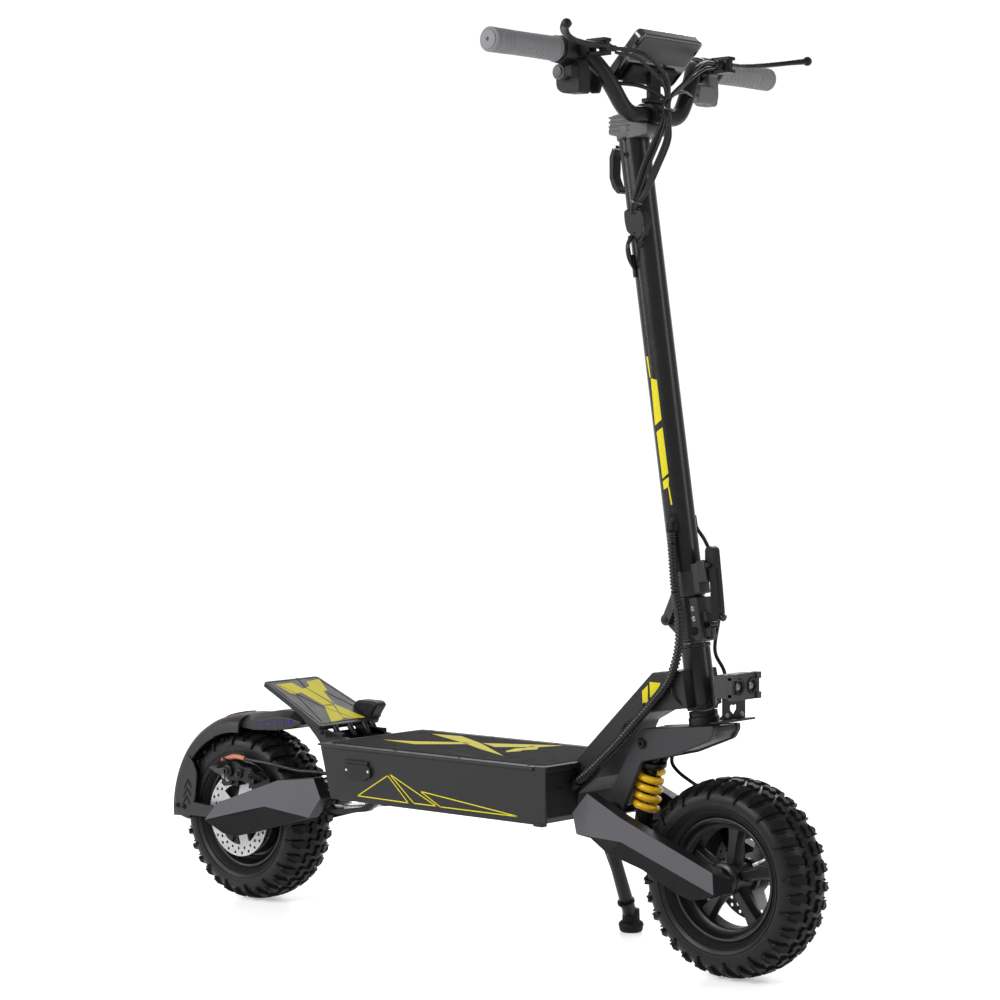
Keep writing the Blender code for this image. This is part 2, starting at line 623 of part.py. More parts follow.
# Stem, latch and hook
def make_stem():
    post = rod(on_axis(FOLD_Z + 0.020), on_axis(STEM_TOP), STEM_R, sides=16)
    foot = rod(on_axis(FOLD_Z + 0.003), on_axis(FOLD_Z + 0.036), FOLD_R, end_radius=FOLD_R - 0.001)
    face = box((0.0050, -0.012, 0.0), (0.0270, 0.012, 0.0390))
    face.data.transform(Matrix.Translation(on_axis(FOLD_Z + 0.003)) @ Matrix.Rotation(-RAKE, 4, "Y"))
    ears = []
    for side in (-1, 1):
        low, high = sorted((side * 0.0077, side * 0.0165))
        tip = FOLD_PIVOT
        ears.append(plate([(tip.x - 0.0065, tip.z - 0.0040), (tip.x - 0.0030, tip.z - 0.0075),
                           (tip.x + 0.0030, tip.z - 0.0075), (tip.x + 0.0062, tip.z - 0.0040),
                           (tip.x + 0.0065, tip.z + 0.0300), (tip.x + 0.0200, tip.z + 0.0345),
                           (tip.x + 0.0150, tip.z + 0.0500), (tip.x + 0.0045, tip.z + 0.0480),
                           (tip.x - 0.0050, tip.z + 0.0200)], low, high))
    bore = rod(FOLD_PIVOT - Vector((0, 0.05, 0)), FOLD_PIVOT + Vector((0, 0.05, 0)), 0.0040 + BORE_GAP)
    use(cut(join(post, foot, face, *ears), bore), "stem_tube", "stem", "black_metal")

    beside = -STEM_R - 0.0045
    cover = rod(on_axis(0.958, y=beside), on_axis(1.000, y=beside), 0.0040,
                end_radius=0.0028, sides=12)
    use(cover, "cable_cover", "stem", "black_plastic")


def make_latch_lever():
    top, low = Vector((-0.0415, 0, 0.5570)), Vector((-0.0245, 0, 0.4660))
    side = Vector((0.0032, 0, 0.0010))
    blade = plate([(p.x, p.z) for p in (top - side, LATCH_PIN - side, low - side * 0.6, low + side,
                                        LATCH_PIN + side * 1.3, top + side)], -0.0068, 0.0068)
    knob = rod(LATCH_PIN - Vector((0, 0.0125, 0)), LATCH_PIN + Vector((0, 0.0125, 0)), 0.0032, sides=16)
    use(join(blade, knob), "latch_lever", "latch_lever", "grey_metal")


def make_fold_hook():
    pin = HOOK_PIN
    shape = [(-0.0040, 0.0035), (-0.0110, -0.0120), (-0.0110, -0.0400), (0.0030, -0.0620),
             (0.0080, -0.0590), (-0.0040, -0.0380), (-0.0030, -0.0100), (0.0020, 0.0030)]
    outline = [(pin.x + x, pin.z + z) for x, z in shape]
    use(plate(outline, -0.008, 0.008), "fold_hook", "fold_hook", "grey_metal")


# Handlebar and its controls
def make_handlebar():
    half = [(CLAMP_X, 0.0, CLAMP_Z), (CLAMP_X, 0.025, CLAMP_Z), (CLAMP_X, 0.047, CLAMP_Z + 0.001),
            (CLAMP_X - 0.001, 0.062, CLAMP_Z + 0.010), (-0.1365, 0.080, 1.156), (-0.1430, 0.098, 1.180),
            (-0.1510, 0.111, 1.193), (BAR_X, 0.122, BAR_Z), (BAR_X, 0.132, BAR_Z),
            (BAR_X, 0.160, BAR_Z),
            (BAR_X, BAR_HALF - 0.008, BAR_Z)]
    left = [Vector(p) for p in half]
    right = [Vector((p.x, -p.y, p.z)) for p in reversed(left[1:])]
    bend = smooth_route(right[1:] + left[:-1], 0.012)
    bar = tube([right[0]] + bend + [left[-1]], BAR_R, sides_setting=3)
    use(bar, "handlebar", "stem", "black_metal")

    clamp = plate([(-0.1900, 1.1000), (-0.1600, 1.0915), (-0.1380, 1.1020), (-0.1120, 1.1080),
                   (-0.1100, 1.1340),
                   (-0.1240, 1.1410), (-0.1480, 1.1410), (-0.1620, 1.1260),
                   (-0.1860, 1.1240)], -0.024, 0.024)
    bar_bore = rod((CLAMP_X, -0.05, CLAMP_Z), (CLAMP_X, 0.05, CLAMP_Z), BAR_R + 0.0012)
    stem_bore = rod(on_axis(1.00), on_axis(STEM_TOP + 0.0025), STEM_R + GAP, sides=16)
    stalk = box((-0.1340, -0.011, 1.136), (-0.1260, 0.011, 1.1795))
    use(cut(join(clamp, stalk), bar_bore, stem_bore), "handlebar_clamp", "stem", "alloy")

    profile = [(BAR_R + BORE_GAP, 0.0), (GRIP_R, 0.0), (GRIP_R, GRIP_LENGTH - 0.003),
               (GRIP_R - 0.003, GRIP_LENGTH),
               (0.003, GRIP_LENGTH), (0.003, GRIP_LENGTH - 0.0075),
               (BAR_R + BORE_GAP, GRIP_LENGTH - 0.0075)]
    grip = turned(profile, Vector((BAR_X, BAR_HALF - GRIP_LENGTH, BAR_Z)), steps=28)
    right_grip = mirrored(grip, "grip")
    use(grip, "grip_left", "stem", "grip_rubber")
    use(right_grip, "grip_right", "stem", "grip_rubber")


def ring(y_low, y_high, radius):
    """A collar round the handlebar's straight end."""
    return cut(rod((BAR_X, y_low, BAR_Z), (BAR_X, y_high, BAR_Z), radius, sides=28),
               rod((BAR_X, y_low - 0.01, BAR_Z),
                   (BAR_X, y_high + 0.01, BAR_Z), BAR_R + BORE_GAP, sides=28))


def make_brake_controls():
    pivot = LEVER_PIVOT
    arm = box((BAR_X + 0.0125, 0.1260, BAR_Z - 0.0050), (pivot.x - 0.0085, 0.1360, BAR_Z + 0.0065))
    housing = join(ring(0.1260, 0.1370, 0.0160), arm)
    right_housing = mirrored(housing, "housing")
    use(housing, "brake_clamp_left", "stem", "black_metal")
    use(right_housing, "brake_clamp_right", "stem", "black_metal")

    route = smooth_route([(pivot.x + 0.0010, pivot.y, pivot.z), (-0.0990, 0.1520, 1.2010),
                          (-0.0920, 0.1800, 1.2035),
                          (-0.0800, 0.2180, 1.2075), (-0.0640, 0.2550, 1.2110)], 0.012)
    upright = Vector((0, 0, 0.0068))
    blade = join(tube(route, 0.0052),
                 rod(route[-1] - upright, route[-1] + upright, 0.0065, sides=12),
                 rod(pivot - upright, pivot + upright, 0.0068, sides=12))
    right_blade = mirrored(blade, "blade")
    use(blade, "brake_lever_left", "brake_lever_left", "black_metal")
    use(right_blade, "brake_lever_right", "brake_lever_right", "black_metal")


def make_throttle():
    use(ring(-0.1610, -0.1375, 0.0180), "throttle_body", "stem", "black_plastic")
    paddle = plate([(BAR_X + 0.0190, BAR_Z - 0.020), (BAR_X + 0.0060, BAR_Z - 0.0215),
                    (BAR_X + 0.0080, BAR_Z - 0.034),
                    (BAR_X + 0.0200, BAR_Z - 0.036)], -0.1560, -0.1420)
    use(paddle, "throttle_paddle", "throttle_paddle", "black_plastic")


def make_switch_box():
    body = join(ring(0.1380, 0.1610, 0.0175), box((BAR_X - 0.012, 0.1385, 1.150),
                                                  (BAR_X + 0.014, 0.1595, 1.184)))
    use(body, "switch_box", "stem", "grip_rubber")


def make_display():
    turn = Matrix.Rotation(radians(-45), 3, "Y")
    middle = Vector((-0.1275, 0, 1.1975))
    case = box(middle - Vector((0.039, 0.065, 0.007)), middle + Vector((0.039, 0.065, 0.007)), turn=turn)
    well = rod(BUTTON - BUTTON_OUT * 0.0060, BUTTON + BUTTON_OUT * 0.01, 0.0055, sides=16)
    use(cut(case, well), "display_case", "stem", "black_plastic")
    button = rod(BUTTON - BUTTON_OUT * 0.0030, BUTTON + BUTTON_OUT * 0.0030, 0.0050, sides=16)
    use(button, "power_button", "power_button", "grip_rubber")


# Cables that the scooter holds all the way
CABLES = {
    "cable_bundle": ("stem", 0.0040, "black_plastic", [
        (-0.1000, -0.010, 1.166), (-0.0960, -0.012, 1.140), (-0.1010, -0.016, 1.100),
        (-0.1180, -0.021, 1.055), (-0.1390, -0.0255, 1.015), (-0.1470, -0.0265, 1.006)]),
    "conduit": ("chassis", 0.0060, "black_plastic", [
        (-0.0790, -0.0290, 0.5620), (-0.0660, -0.0395, 0.503), (-0.0560, -0.0440, 0.464),
        (-0.0575, -0.0440, 0.425),
        (-0.0725, -0.0442, 0.385), (-0.0995, -0.0444, 0.354), (-0.1285, -0.0446, 0.326),
        (-0.1625, -0.0448, 0.293),
        (-0.2055, -0.0450, 0.256), (-0.2290, -0.0450, 0.2395)]),
    "front_brake_cable": ("steering", 0.0025, "black_plastic", [
        (-0.0660, 0.0275, 0.560), (-0.0540, 0.0370, 0.520), (-0.0560, 0.0430, 0.470),
        (-0.0670, 0.0470, 0.418),
        (-0.0570, 0.0480, 0.385), (-0.0600, 0.0480, 0.350), (-0.0900, 0.0490, 0.310),
        (-0.1300, 0.0480, 0.283),
        (-0.1390, 0.0460, 0.266), (-0.1300, 0.0470, 0.252), (-0.1050, 0.0500, 0.237),
        (-0.0720, 0.0540, 0.221),
        (-0.0500, 0.0540, 0.207), (-0.0440, 0.0500, 0.197)]),
    "rear_brake_cable": ("rear_arm", 0.0026, "copper_boot", [
        (-0.6640, -0.0500, 0.206), (-0.6900, -0.0520, 0.209), (-0.7400, -0.0560, 0.222),
        (-0.7950, -0.0600, 0.231),
        (-0.8450, -0.0610, 0.228), (-0.8720, -0.0600, 0.217)]),
}


def make_cables():
    for name, (body, radius, finish, points) in CABLES.items():
        use(tube(smooth_route(points, radius * 4.5), radius), name, body, finish)


make_deck()
make_charge_cover()
make_neck()
make_rear_lug()
make_kick_plate()
make_kickstand()
make_fork()
make_headlight()
make_fold_base()
make_front_arm()
make_front_wheel()
make_rear_arm()
make_fender()
make_rear_wheel()
make_stem()
make_latch_lever()
make_fold_hook()
make_handlebar()
make_brake_controls()
make_throttle()
make_switch_box()
make_display()
make_cables()
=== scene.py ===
"""Looks of an electric kick scooter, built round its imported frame.

Metres, +Z up, +X forward, +Y to the rider's left.  Shapes are written from
the point on the ground below the front axle and moved into the frame's place
by SHIFT when they become pieces.
"""
from math import cos, hypot, pi, radians, sin

import bmesh
import bpy
from mathutils import Matrix, Vector


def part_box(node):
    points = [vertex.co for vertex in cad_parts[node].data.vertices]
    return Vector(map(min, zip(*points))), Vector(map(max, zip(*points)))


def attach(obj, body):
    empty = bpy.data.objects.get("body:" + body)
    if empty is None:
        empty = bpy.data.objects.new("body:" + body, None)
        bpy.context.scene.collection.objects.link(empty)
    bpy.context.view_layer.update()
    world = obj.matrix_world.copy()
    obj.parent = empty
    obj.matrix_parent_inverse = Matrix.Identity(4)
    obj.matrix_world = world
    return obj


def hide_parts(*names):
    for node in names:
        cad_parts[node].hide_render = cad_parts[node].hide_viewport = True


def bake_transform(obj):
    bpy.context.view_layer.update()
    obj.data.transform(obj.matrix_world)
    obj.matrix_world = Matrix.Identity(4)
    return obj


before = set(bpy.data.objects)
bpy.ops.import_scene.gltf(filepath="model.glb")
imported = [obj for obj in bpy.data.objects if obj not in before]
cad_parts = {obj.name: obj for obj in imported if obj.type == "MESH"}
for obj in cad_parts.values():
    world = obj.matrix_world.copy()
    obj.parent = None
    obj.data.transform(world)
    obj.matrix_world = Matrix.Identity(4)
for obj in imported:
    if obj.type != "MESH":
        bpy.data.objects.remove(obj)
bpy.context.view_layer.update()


def middle(node):
    low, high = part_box(node)
    return (Vector(low) + Vector(high)) / 2


# Directions
AHEAD, LEFT, UP = Vector((1, 0, 0)), Vector((0, 1, 0)), Vector((0, 0, 1))
RIGHT = Vector((0, -1, 0))

# Driving places
FRONT_AXLE_PLACE = middle("front_axle")
SHIFT = Vector((FRONT_AXLE_PLACE.x, 0, 0))
FRONT_AXLE = FRONT_AXLE_PLACE - SHIFT
REAR_AXLE = middle("rear_axle") - SHIFT
FRONT_PIVOT = Vector((-0.175, 0, 0.203))
REAR_PIVOT = Vector((-0.695, 0, 0.172))
FOLD_PIVOT = Vector((-0.1005, 0, 0.46))
LATCH_PIN = Vector((-0.035, 0, 0.534))
HOOK_PIN = Vector((-0.1885, 0, 1.084))
KICKSTAND_PIVOT = Vector((-0.279, 0.074, 0.164))
LEVER_PIVOT = Vector((-0.1065, 0.13, 1.1985))
BAR_X, BAR_Z = -0.1585, 1.197
BAR_R = 0.011
BAR_HALF = 0.293
GRIP_LENGTH = 0.13
STEM_R = 0.0205
HEAD = Vector((-0.052, 0, 0.35))
RAKE = radians(8.5)
STEER_UP = Vector((-sin(RAKE), 0, cos(RAKE)))
STEER_FORWARD = Vector((cos(RAKE), 0, sin(RAKE)))
DECK_SIDE = 0.109
DECK_TOP = 0.263
ARM_IN = 0.057
DISC_Y = 0.041
DISC_R = 0.0625
RIM_R = 0.0803
WELD_GAP = 1e-6


def on_axis(z):
    """The point at height z on the steering axis."""
    return HEAD + STEER_UP * ((z - HEAD.z) / STEER_UP.z)


def on_stem(z, degrees, radius=STEM_R):
    """A point on the stem's surface; degrees turn from forward to the rider's right."""
    turn = radians(degrees)
    base = on_axis(0)
    up = STEER_UP * ((z - (STEER_FORWARD * (radius * cos(turn))).z) / STEER_UP.z)
    return base + up + STEER_FORWARD * (radius * cos(turn)) + RIGHT * (radius * sin(turn))


# Materials
class Surface:
    """One node material with mottled colour, broken gloss and fine relief."""

    def __init__(self, name, colour, roughness=0.5, metallic=0.0, mottle=0.1, grain=900.0,
                 relief=0.1, depth=0.0003, gloss_change=0.1, coat=0.0, stretch=(1, 1, 1), shine=0.25):
        self.name = name
        self.material = bpy.data.materials.new(name)
        self.material.use_nodes = True
        self.nodes = self.material.node_tree.nodes
        self.links = self.material.node_tree.links
        self.shader = self.nodes["Principled BSDF"]
        self.shader.inputs["Metallic"].default_value = metallic
        self.shader.inputs["Coat Weight"].default_value = coat
        self.shader.inputs["Coat Roughness"].default_value = 0.12
        self.shader.inputs["Specular IOR Level"].default_value = shine
        self.coords = self.nodes.new("ShaderNodeTexCoord")
        self.mapping = self.nodes.new("ShaderNodeMapping")
        self.mapping.inputs["Scale"].default_value = stretch
        self.links.new(self.coords.outputs["Object"], self.mapping.inputs["Vector"])
        broad = self.noise(9.0, 5.0)
        fine = self.noise(grain, 3.0)
        dark = [c * (1 - mottle) for c in colour]
        light = [min(1.0, c * (1 + mottle)) for c in colour]
        self.colour = self.mix(broad, dark, light)
        self.links.new(self.colour, self.shader.inputs["Base Color"])
        change = self.nodes.new("ShaderNodeMapRange")
        change.inputs["To Min"].default_value = max(0.02, roughness - gloss_change)
        change.inputs["To Max"].default_value = min(1.0, roughness + gloss_change)
        self.links.new(self.noise(60.0, 6.0), change.inputs["Value"])
        self.links.new(change.outputs["Result"], self.shader.inputs["Roughness"])
        self.bump = self.nodes.new("ShaderNodeBump")
        self.bump.inputs["Strength"].default_value = relief
        self.bump.inputs["Distance"].default_value = depth
        self.links.new(fine, self.bump.inputs["Height"])
        self.links.new(self.bump.outputs["Normal"], self.shader.inputs["Normal"])

    def noise(self, scale, detail):
        node = self.nodes.new("ShaderNodeTexNoise")
        node.inputs["Scale"].default_value = scale
        node.inputs["Detail"].default_value = detail
        self.links.new(self.mapping.outputs["Vector"], node.inputs["Vector"])
        return node.outputs["Fac"]

    def mix(self, factor, first, second):
        node = self.nodes.new("ShaderNodeMix")
        node.data_type = "RGBA"
        self.links.new(factor, node.inputs["Factor"])
        for socket, value in (("A", first), ("B", second)):
            place = [s for s in node.inputs if s.name == socket and s.type == "RGBA"][0]
            if isinstance(value, bpy.types.NodeSocket):
                self.links.new(value, place)
            else:
                place.default_value = (*value, 1)
        return [s for s in node.outputs if s.type == "RGBA"][0]

    def threshold(self, value, low, high):
        node = self.nodes.new("ShaderNodeMapRange")
        node.inputs["From Min"].default_value = low
        node.inputs["From Max"].default_value = high
        self.links.new(value, node.inputs["Value"])
        return node.outputs["Result"]

    def speckle(self, colour, scale, low, high, strength=0.5):
        """Small marks of another colour: dust, chips or scuffs."""
        spots = self.threshold(self.noise(scale, 8.0), low, high)
        fade = self.nodes.new("ShaderNodeMath")
        fade.operation = "MULTIPLY"
        fade.inputs[1].default_value = strength
        self.links.new(spots, fade.inputs[0])
        self.colour = self.mix(fade.outputs[0], self.colour, colour)
        self.links.new(self.colour, self.shader.inputs["Base Color"])
        return self

    def pattern(self, node_type, strength, depth, **settings):
        """A coarser relief, such as moulded dots, under the fine one."""
        node = self.nodes.new(node_type)
        for key, value in settings.items():
            if key in node.inputs:
                node.inputs[key].default_value = value
            else:
                setattr(node, key, value)
        self.links.new(self.mapping.outputs["Vector"], node.inputs["Vector"])
        output = node.outputs["Distance"] if "Distance" in node.outputs else node.outputs["Fac"]
        coarse = self.nodes.new("ShaderNodeBump")
        coarse.inputs["Strength"].default_value = strength
        coarse.inputs["Distance"].default_value = depth
        self.links.new(output, coarse.inputs["Height"])
        self.links.new(coarse.outputs["Normal"], self.bump.inputs["Normal"])
        return self


def glow(name, colour, strength):
    surface = Surface(name, colour, roughness=0.25, mottle=0.05, relief=0.02)
    surface.shader.inputs["Emission Color"].default_value = (*colour, 1)
    surface.shader.inputs["Emission Strength"].default_value = strength
    return surface


SURFACES = {surface.name: surface for surface in (
    Surface("frame_paint", (0.013, 0.013, 0.0141), 0.46, 0.1, grain=1600, relief=0.16,
            shine=0.22)
    .speckle((0.05, 0.05, 0.055), 240, 0.66, 0.74, 0.25),
    Surface("arm_paint", (0.066, 0.064, 0.071), 0.52, 0.1, mottle=0.05, grain=1500,
            relief=0.16).speckle((0.2, 0.2, 0.21), 260, 0.67, 0.75, 0.2),
    Surface("belly_paint", (0.004, 0.004, 0.0043), 0.55, 0.0, grain=1500, shine=0.1),
    Surface("wheel_paint", (0.0075, 0.0075, 0.0082), 0.36, 0.1, grain=1500, shine=0.4),
    Surface("screen_glass", (0.003, 0.0032, 0.004), 0.42, 0.0, relief=0.02,
            gloss_change=0.04, shine=0.06),
    Surface("stem_paint", (0.011, 0.011, 0.012), 0.28, 0.2, grain=1500, relief=0.1),
    Surface("black_metal", (0.0075, 0.0075, 0.0082), 0.38, 0.3, grain=1200)
    .speckle((0.05, 0.05, 0.055), 320, 0.68, 0.75, 0.3),
    Surface("hinge_metal", (0.029, 0.029, 0.0315), 0.46, 0.3, grain=1400, relief=0.2),
    Surface("cast_alloy", (0.07, 0.07, 0.075), 0.48, 0.4, grain=1100, relief=0.3),
    Surface("steel", (0.62, 0.62, 0.64), 0.3, 1.0, mottle=0.06, grain=700, relief=0.12,
            stretch=(1, 6, 1)),
    Surface("disc_steel", (0.36, 0.36, 0.37), 0.38, 0.7, mottle=0.08, grain=500,
            relief=0.1).speckle((0.35, 0.35, 0.37), 90, 0.55, 0.7, 0.5),
    Surface("bolt_steel", (0.3, 0.3, 0.31), 0.32, 0.9, grain=900),
    Surface("black_bolt", (0.008, 0.008, 0.0085), 0.34, 0.5, grain=900, shine=0.3),
    Surface("rubber", (0.0048, 0.0048, 0.0051), 0.52, 0.0, mottle=0.16, grain=520, relief=0.22,
            depth=0.0004, shine=0.12).speckle((0.02, 0.019, 0.018), 130, 0.58, 0.72, 0.5),
    # Sidewall rubber is the tread's rubber: its lighter base colour is painted sheen, its lower roughness
    # the smoother moulded finish it really has.
    Surface("side_rubber_painted_sheen", (0.0085, 0.0085, 0.009), 0.38, 0.0, mottle=0.14, grain=700,
            relief=0.16, shine=0.16).speckle((0.02, 0.02, 0.019), 160, 0.6, 0.72, 0.4),
    Surface("plastic", (0.0085, 0.0085, 0.0092), 0.44, 0.0, grain=1300, relief=0.25, shine=0.18),
    Surface("fender_plastic", (0.015, 0.015, 0.0165), 0.42, 0.0, grain=1200,
            relief=0.2).speckle((0.045, 0.045, 0.045), 220, 0.66, 0.75, 0.3),
    Surface("gloss_black", (0.0035, 0.0035, 0.004), 0.14, 0.0, relief=0.02,
            gloss_change=0.05, coat=0.6, shine=0.5),
    Surface("panel_grey", (0.03, 0.0295, 0.032), 0.42, 0.1, mottle=0.05, grain=1400),
    Surface("display_grey", (0.038, 0.0375, 0.0405), 0.38, 0.0, mottle=0.05, grain=1400),
    Surface("grip_rubber", (0.155, 0.155, 0.165), 0.62, 0.0, mottle=0.07, grain=650,
            relief=0.3, depth=0.0004)
    .speckle((0.085, 0.085, 0.09), 210, 0.62, 0.74, 0.35),
    Surface("switch_grey", (0.095, 0.095, 0.1), 0.5, 0.0, mottle=0.06, grain=1100,
            relief=0.22),
    Surface("spring_paint", (0.66, 0.38, 0.0045), 0.3, 0.0, mottle=0.06, grain=800,
            relief=0.08, coat=0.4).speckle((0.35, 0.16, 0.01), 200, 0.64, 0.72, 0.35),
    Surface("decal_yellow", (0.47, 0.41, 0.015), 0.5, 0.0, mottle=0.05, grain=1000,
            relief=0.08, shine=0.08).speckle((0.35, 0.31, 0.04), 420, 0.63, 0.72, 0.35),
    Surface("decal_dark", (0.006, 0.006, 0.006), 0.5, 0.0, grain=900, shine=0.1),
    Surface("deck_grip", (0.006, 0.006, 0.0066), 0.75, 0.0, grain=1900, relief=0.7,
            depth=0.0005, shine=0.08)
    .pattern("ShaderNodeTexVoronoi", 0.35, 0.0006, Scale=420.0),
    Surface("cable_rubber", (0.003, 0.003, 0.0033), 0.32, 0.0, grain=700, relief=0.1,
            shine=0.3),
    Surface("copper_boot", (0.36, 0.13, 0.08), 0.42, 0.3, mottle=0.12, grain=600,
            relief=0.3),
    Surface("lens_glass", (0.1, 0.1, 0.11), 0.1, 0.4, mottle=0.06, relief=0.03, coat=0.8)
    .pattern("ShaderNodeTexVoronoi", 0.3, 0.0008, Scale=260.0),
    Surface("tail_lens", (0.1, 0.003, 0.003), 0.34, 0.0, relief=0.04, coat=0.1, shine=0.1)
    .pattern("ShaderNodeTexVoronoi", 0.4, 0.0008, Scale=330.0),
    glow("led_blue", (0.01, 0.01, 0.6), 0.7),
    glow("digit_white", (0.75, 0.85, 0.9), 0.8),
    Surface("cell_blue", (0.03, 0.07, 0.2), 0.45, 0.0, grain=500),
    glow("floor", (0.9, 0.9, 0.9), 0.42),
)}


# Solids: each is a list of corners and a list of faces
def box(low, high):
    low, high = Vector(low), Vector(high)
    corners = [Vector((x, y, z)) for z in (low.z, high.z) for y in (low.y, high.y) for x in (low.x, high.x)]
    faces = [(0, 2, 3, 1), (4, 5, 7, 6), (0, 1, 5, 4), (2, 6, 7, 3), (0, 4, 6, 2), (1, 3, 7, 5)]
    return corners, faces


def frame_of(direction, hint=UP):
    """Two unit directions square to the given one and each other."""
    along = Vector(direction).normalized()
    if abs(along.dot(hint)) > 0.95:
        hint = AHEAD
    side = along.cross(hint).normalized()
    return side, side.cross(along).normalized()


def lathe(profile, centre, axis=LEFT, steps=64, start=0.0, sweep=2 * pi):
    """A closed profile of (radius, along) turned about an axis through the centre."""
    axis = Vector(axis).normalized()
    side, other = frame_of(axis)
    whole = abs(sweep - 2 * pi) < 1e-6
    rows = steps if whole else steps + 1
    corners = []
    for i in range(rows):
        turn = start + sweep * i / steps
        out = side * cos(turn) + other * sin(turn)
        corners += [centre + out * r + axis * a for r, a in profile]
    count = len(profile)
    faces = []
    for i in range(steps):
        first, second = i * count, ((i + 1) % rows) * count
        for j in range(count):
            k = (j + 1) % count
            if profile[j][0] < 1e-7 and profile[k][0] < 1e-7:
                continue
            faces.append((first + j, first + k, second + k, second + j))
    if not whole:
        faces.append(tuple(range(count)))
        faces.append(tuple(reversed(range(steps * count, rows * count))))
    return corners, faces


def loft(sections):
    """A closed skin through outlines that share their number of corners."""
    count = len(sections[0])
    corners = [corner for section in sections for corner in section]
    faces = [(row * count + i, row * count + (i + 1) % count, (row + 1) * count + (i + 1) % count,
              (row + 1) * count + i) for row in range(len(sections) - 1) for i in range(count)]
    faces += [tuple(range(count)), tuple(reversed(range(len(corners) - count, len(corners))))]
    return corners, faces


def rod(start, end, radius, end_radius=None, steps=32, soften=0.0004):
    """A round bar between two points with softened rims."""
    start, end = Vector(start), Vector(end)
    length = (end - start).length
    last = radius if end_radius is None else end_radius
    e = min(soften, radius * 0.4, last * 0.4, length * 0.3)
    profile = [(0, 0), (radius - e, 0), (radius - e * 0.3, e * 0.3), (radius, e), (last, length - e),
               (last - e * 0.3, length - e * 0.3), (last - e, length), (0, length)]
    return lathe(profile, start, end - start, steps)


def cross_bar(centre, half, radius):
    """A round bar lying across the scooter, as far to each side of its centre."""
    return rod(centre - LEFT * half, centre + LEFT * half, radius)


def smooth_route(points, step):
    """Points about a step apart on a smooth curve through the given points."""
    points = [Vector(p) for p in points]
    ends = [points[0] * 2 - points[1]] + points + [points[-1] * 2 - points[-2]]
    route = []
    for a, b, c, d in zip(ends, ends[1:], ends[2:], ends[3:]):
        count = max(1, round((c - b).length / step))
        for i in range(count):
            t = i / count
            route.append(0.5 * (2 * b + (c - a) * t + (2 * a - 5 * b + 4 * c - d) * t * t
                                + (3 * b - a - 3 * c + d) * t ** 3))
    return route + [points[-1]]


def tube(route, radius, steps=16, flat=1.0):
    """A round bar along a list of points; radius may be a list, flat squeezes it sideways."""
    radii = radius if isinstance(radius, (list, tuple)) else [radius] * len(route)
    side = frame_of(route[1] - route[0])[0]
    corners = []
    for i, place in enumerate(route):
        before, after = route[max(0, i - 1)], route[min(len(route) - 1, i + 1)]
        along = (after - before).normalized()
        side = (side - along * side.dot(along)).normalized()
        up = side.cross(along)
        for j in range(steps):
            turn = 2 * pi * j / steps
            corners.append(place + side * (radii[i] * flat * cos(turn)) + up * (radii[i] * sin(turn)))
    faces = []
    for i in range(len(route) - 1):
        for j in range(steps):
            k = (j + 1) % steps
            faces.append((i * steps + j, (i + 1) * steps + j, (i + 1) * steps + k, i * steps + k))
    faces.append(tuple(range(steps)))
    faces.append(tuple(reversed(range((len(route) - 1) * steps, len(route) * steps))))
    return corners, faces


def slab(outline, origin, across, up, thickness, holes=()):
    """A flat outline with holes, from the origin's plane out along across x up."""
    across, up = Vector(across).normalized(), Vector(up).normalized()
    curve = bpy.data.curves.new("outline", "CURVE")
    curve.dimensions = "2D"
    curve.fill_mode = "BOTH"
    curve.extrude = thickness / 2
    for loop in (outline, *holes):
        spline = curve.splines.new("POLY")
        spline.points.add(len(loop) - 1)
        for point, (x, y) in zip(spline.points, loop):
            point.co = (x, y, 0, 1)
        spline.use_cyclic_u = True
    holder = bpy.data.objects.new("outline", curve)
    bpy.context.scene.collection.objects.link(holder)
    mesh = bpy.data.meshes.new_from_object(holder.evaluated_get(bpy.context.evaluated_depsgraph_get()))
    out = across.cross(up)
    middle_plane = Vector(origin) + out * (thickness / 2)
    bm = bmesh.new()
    bm.from_mesh(mesh)
    bmesh.ops.remove_doubles(bm, verts=bm.verts, dist=WELD_GAP)
    bmesh.ops.dissolve_limit(bm, angle_limit=radians(1), verts=bm.verts, edges=bm.edges)
    bm.verts.index_update()
    corners = [middle_plane + across * v.co.x + up * v.co.y + out * v.co.z for v in bm.verts]
    faces = [tuple(v.index for v in face.verts) for face in bm.faces]
    bm.free()
    bpy.data.objects.remove(holder, do_unlink=True)
    bpy.data.curves.remove(curve)
    bpy.data.meshes.remove(mesh)
    return corners, faces


def plate(outline, y_low, y_high, holes=()):
    """An outline in X and Z between two places along Y."""
    return slab(outline, (0, y_high, 0), AHEAD, UP, y_high - y_low, holes)


def circle(x, y, radius, count=24):
    return [(x + radius * cos(2 * pi * i / count), y + radius * sin(2 * pi * i / count))
            for i in range(count)]


def arc(x, y, radius, start, end, count):
    """Points on a circle between two angles in degrees."""
    turns = [radians(start + (end - start) * i / count) for i in range(count + 1)]
    return [(x + radius * cos(t), y + radius * sin(t)) for t in turns]


def rounded(outline, radius, count=4):
    """An outline whose corners are cut by short arcs."""
    result = []
    for i, corner in enumerate(outline):
        corner = Vector(corner)
        before = (Vector(outline[i - 1]) - corner)
        after = (Vector(outline[(i + 1) % len(outline)]) - corner)
        reach = min(radius, before.length * 0.45, after.length * 0.45)
        a, b = corner + before.normalized() * reach, corner + after.normalized() * reach
        for j in range(count + 1):
            t = j / count
            point = a * (1 - t) ** 2 + corner * (2 * t * (1 - t)) + b * t ** 2
            result.append((point.x, point.y))
    return result


def moved(solid, matrix):
    return [matrix @ v for v in solid[0]], solid[1]


def mirrored(solid):
    """The solid's twin on the other side of the scooter."""
    corners = [Vector((v[0], -v[1], v[2])) for v in solid[0]]
    return corners, [tuple(reversed(face)) for face in solid[1]]


def both_sides(*solids):
    return list(solids) + [mirrored(s) for s in solids]


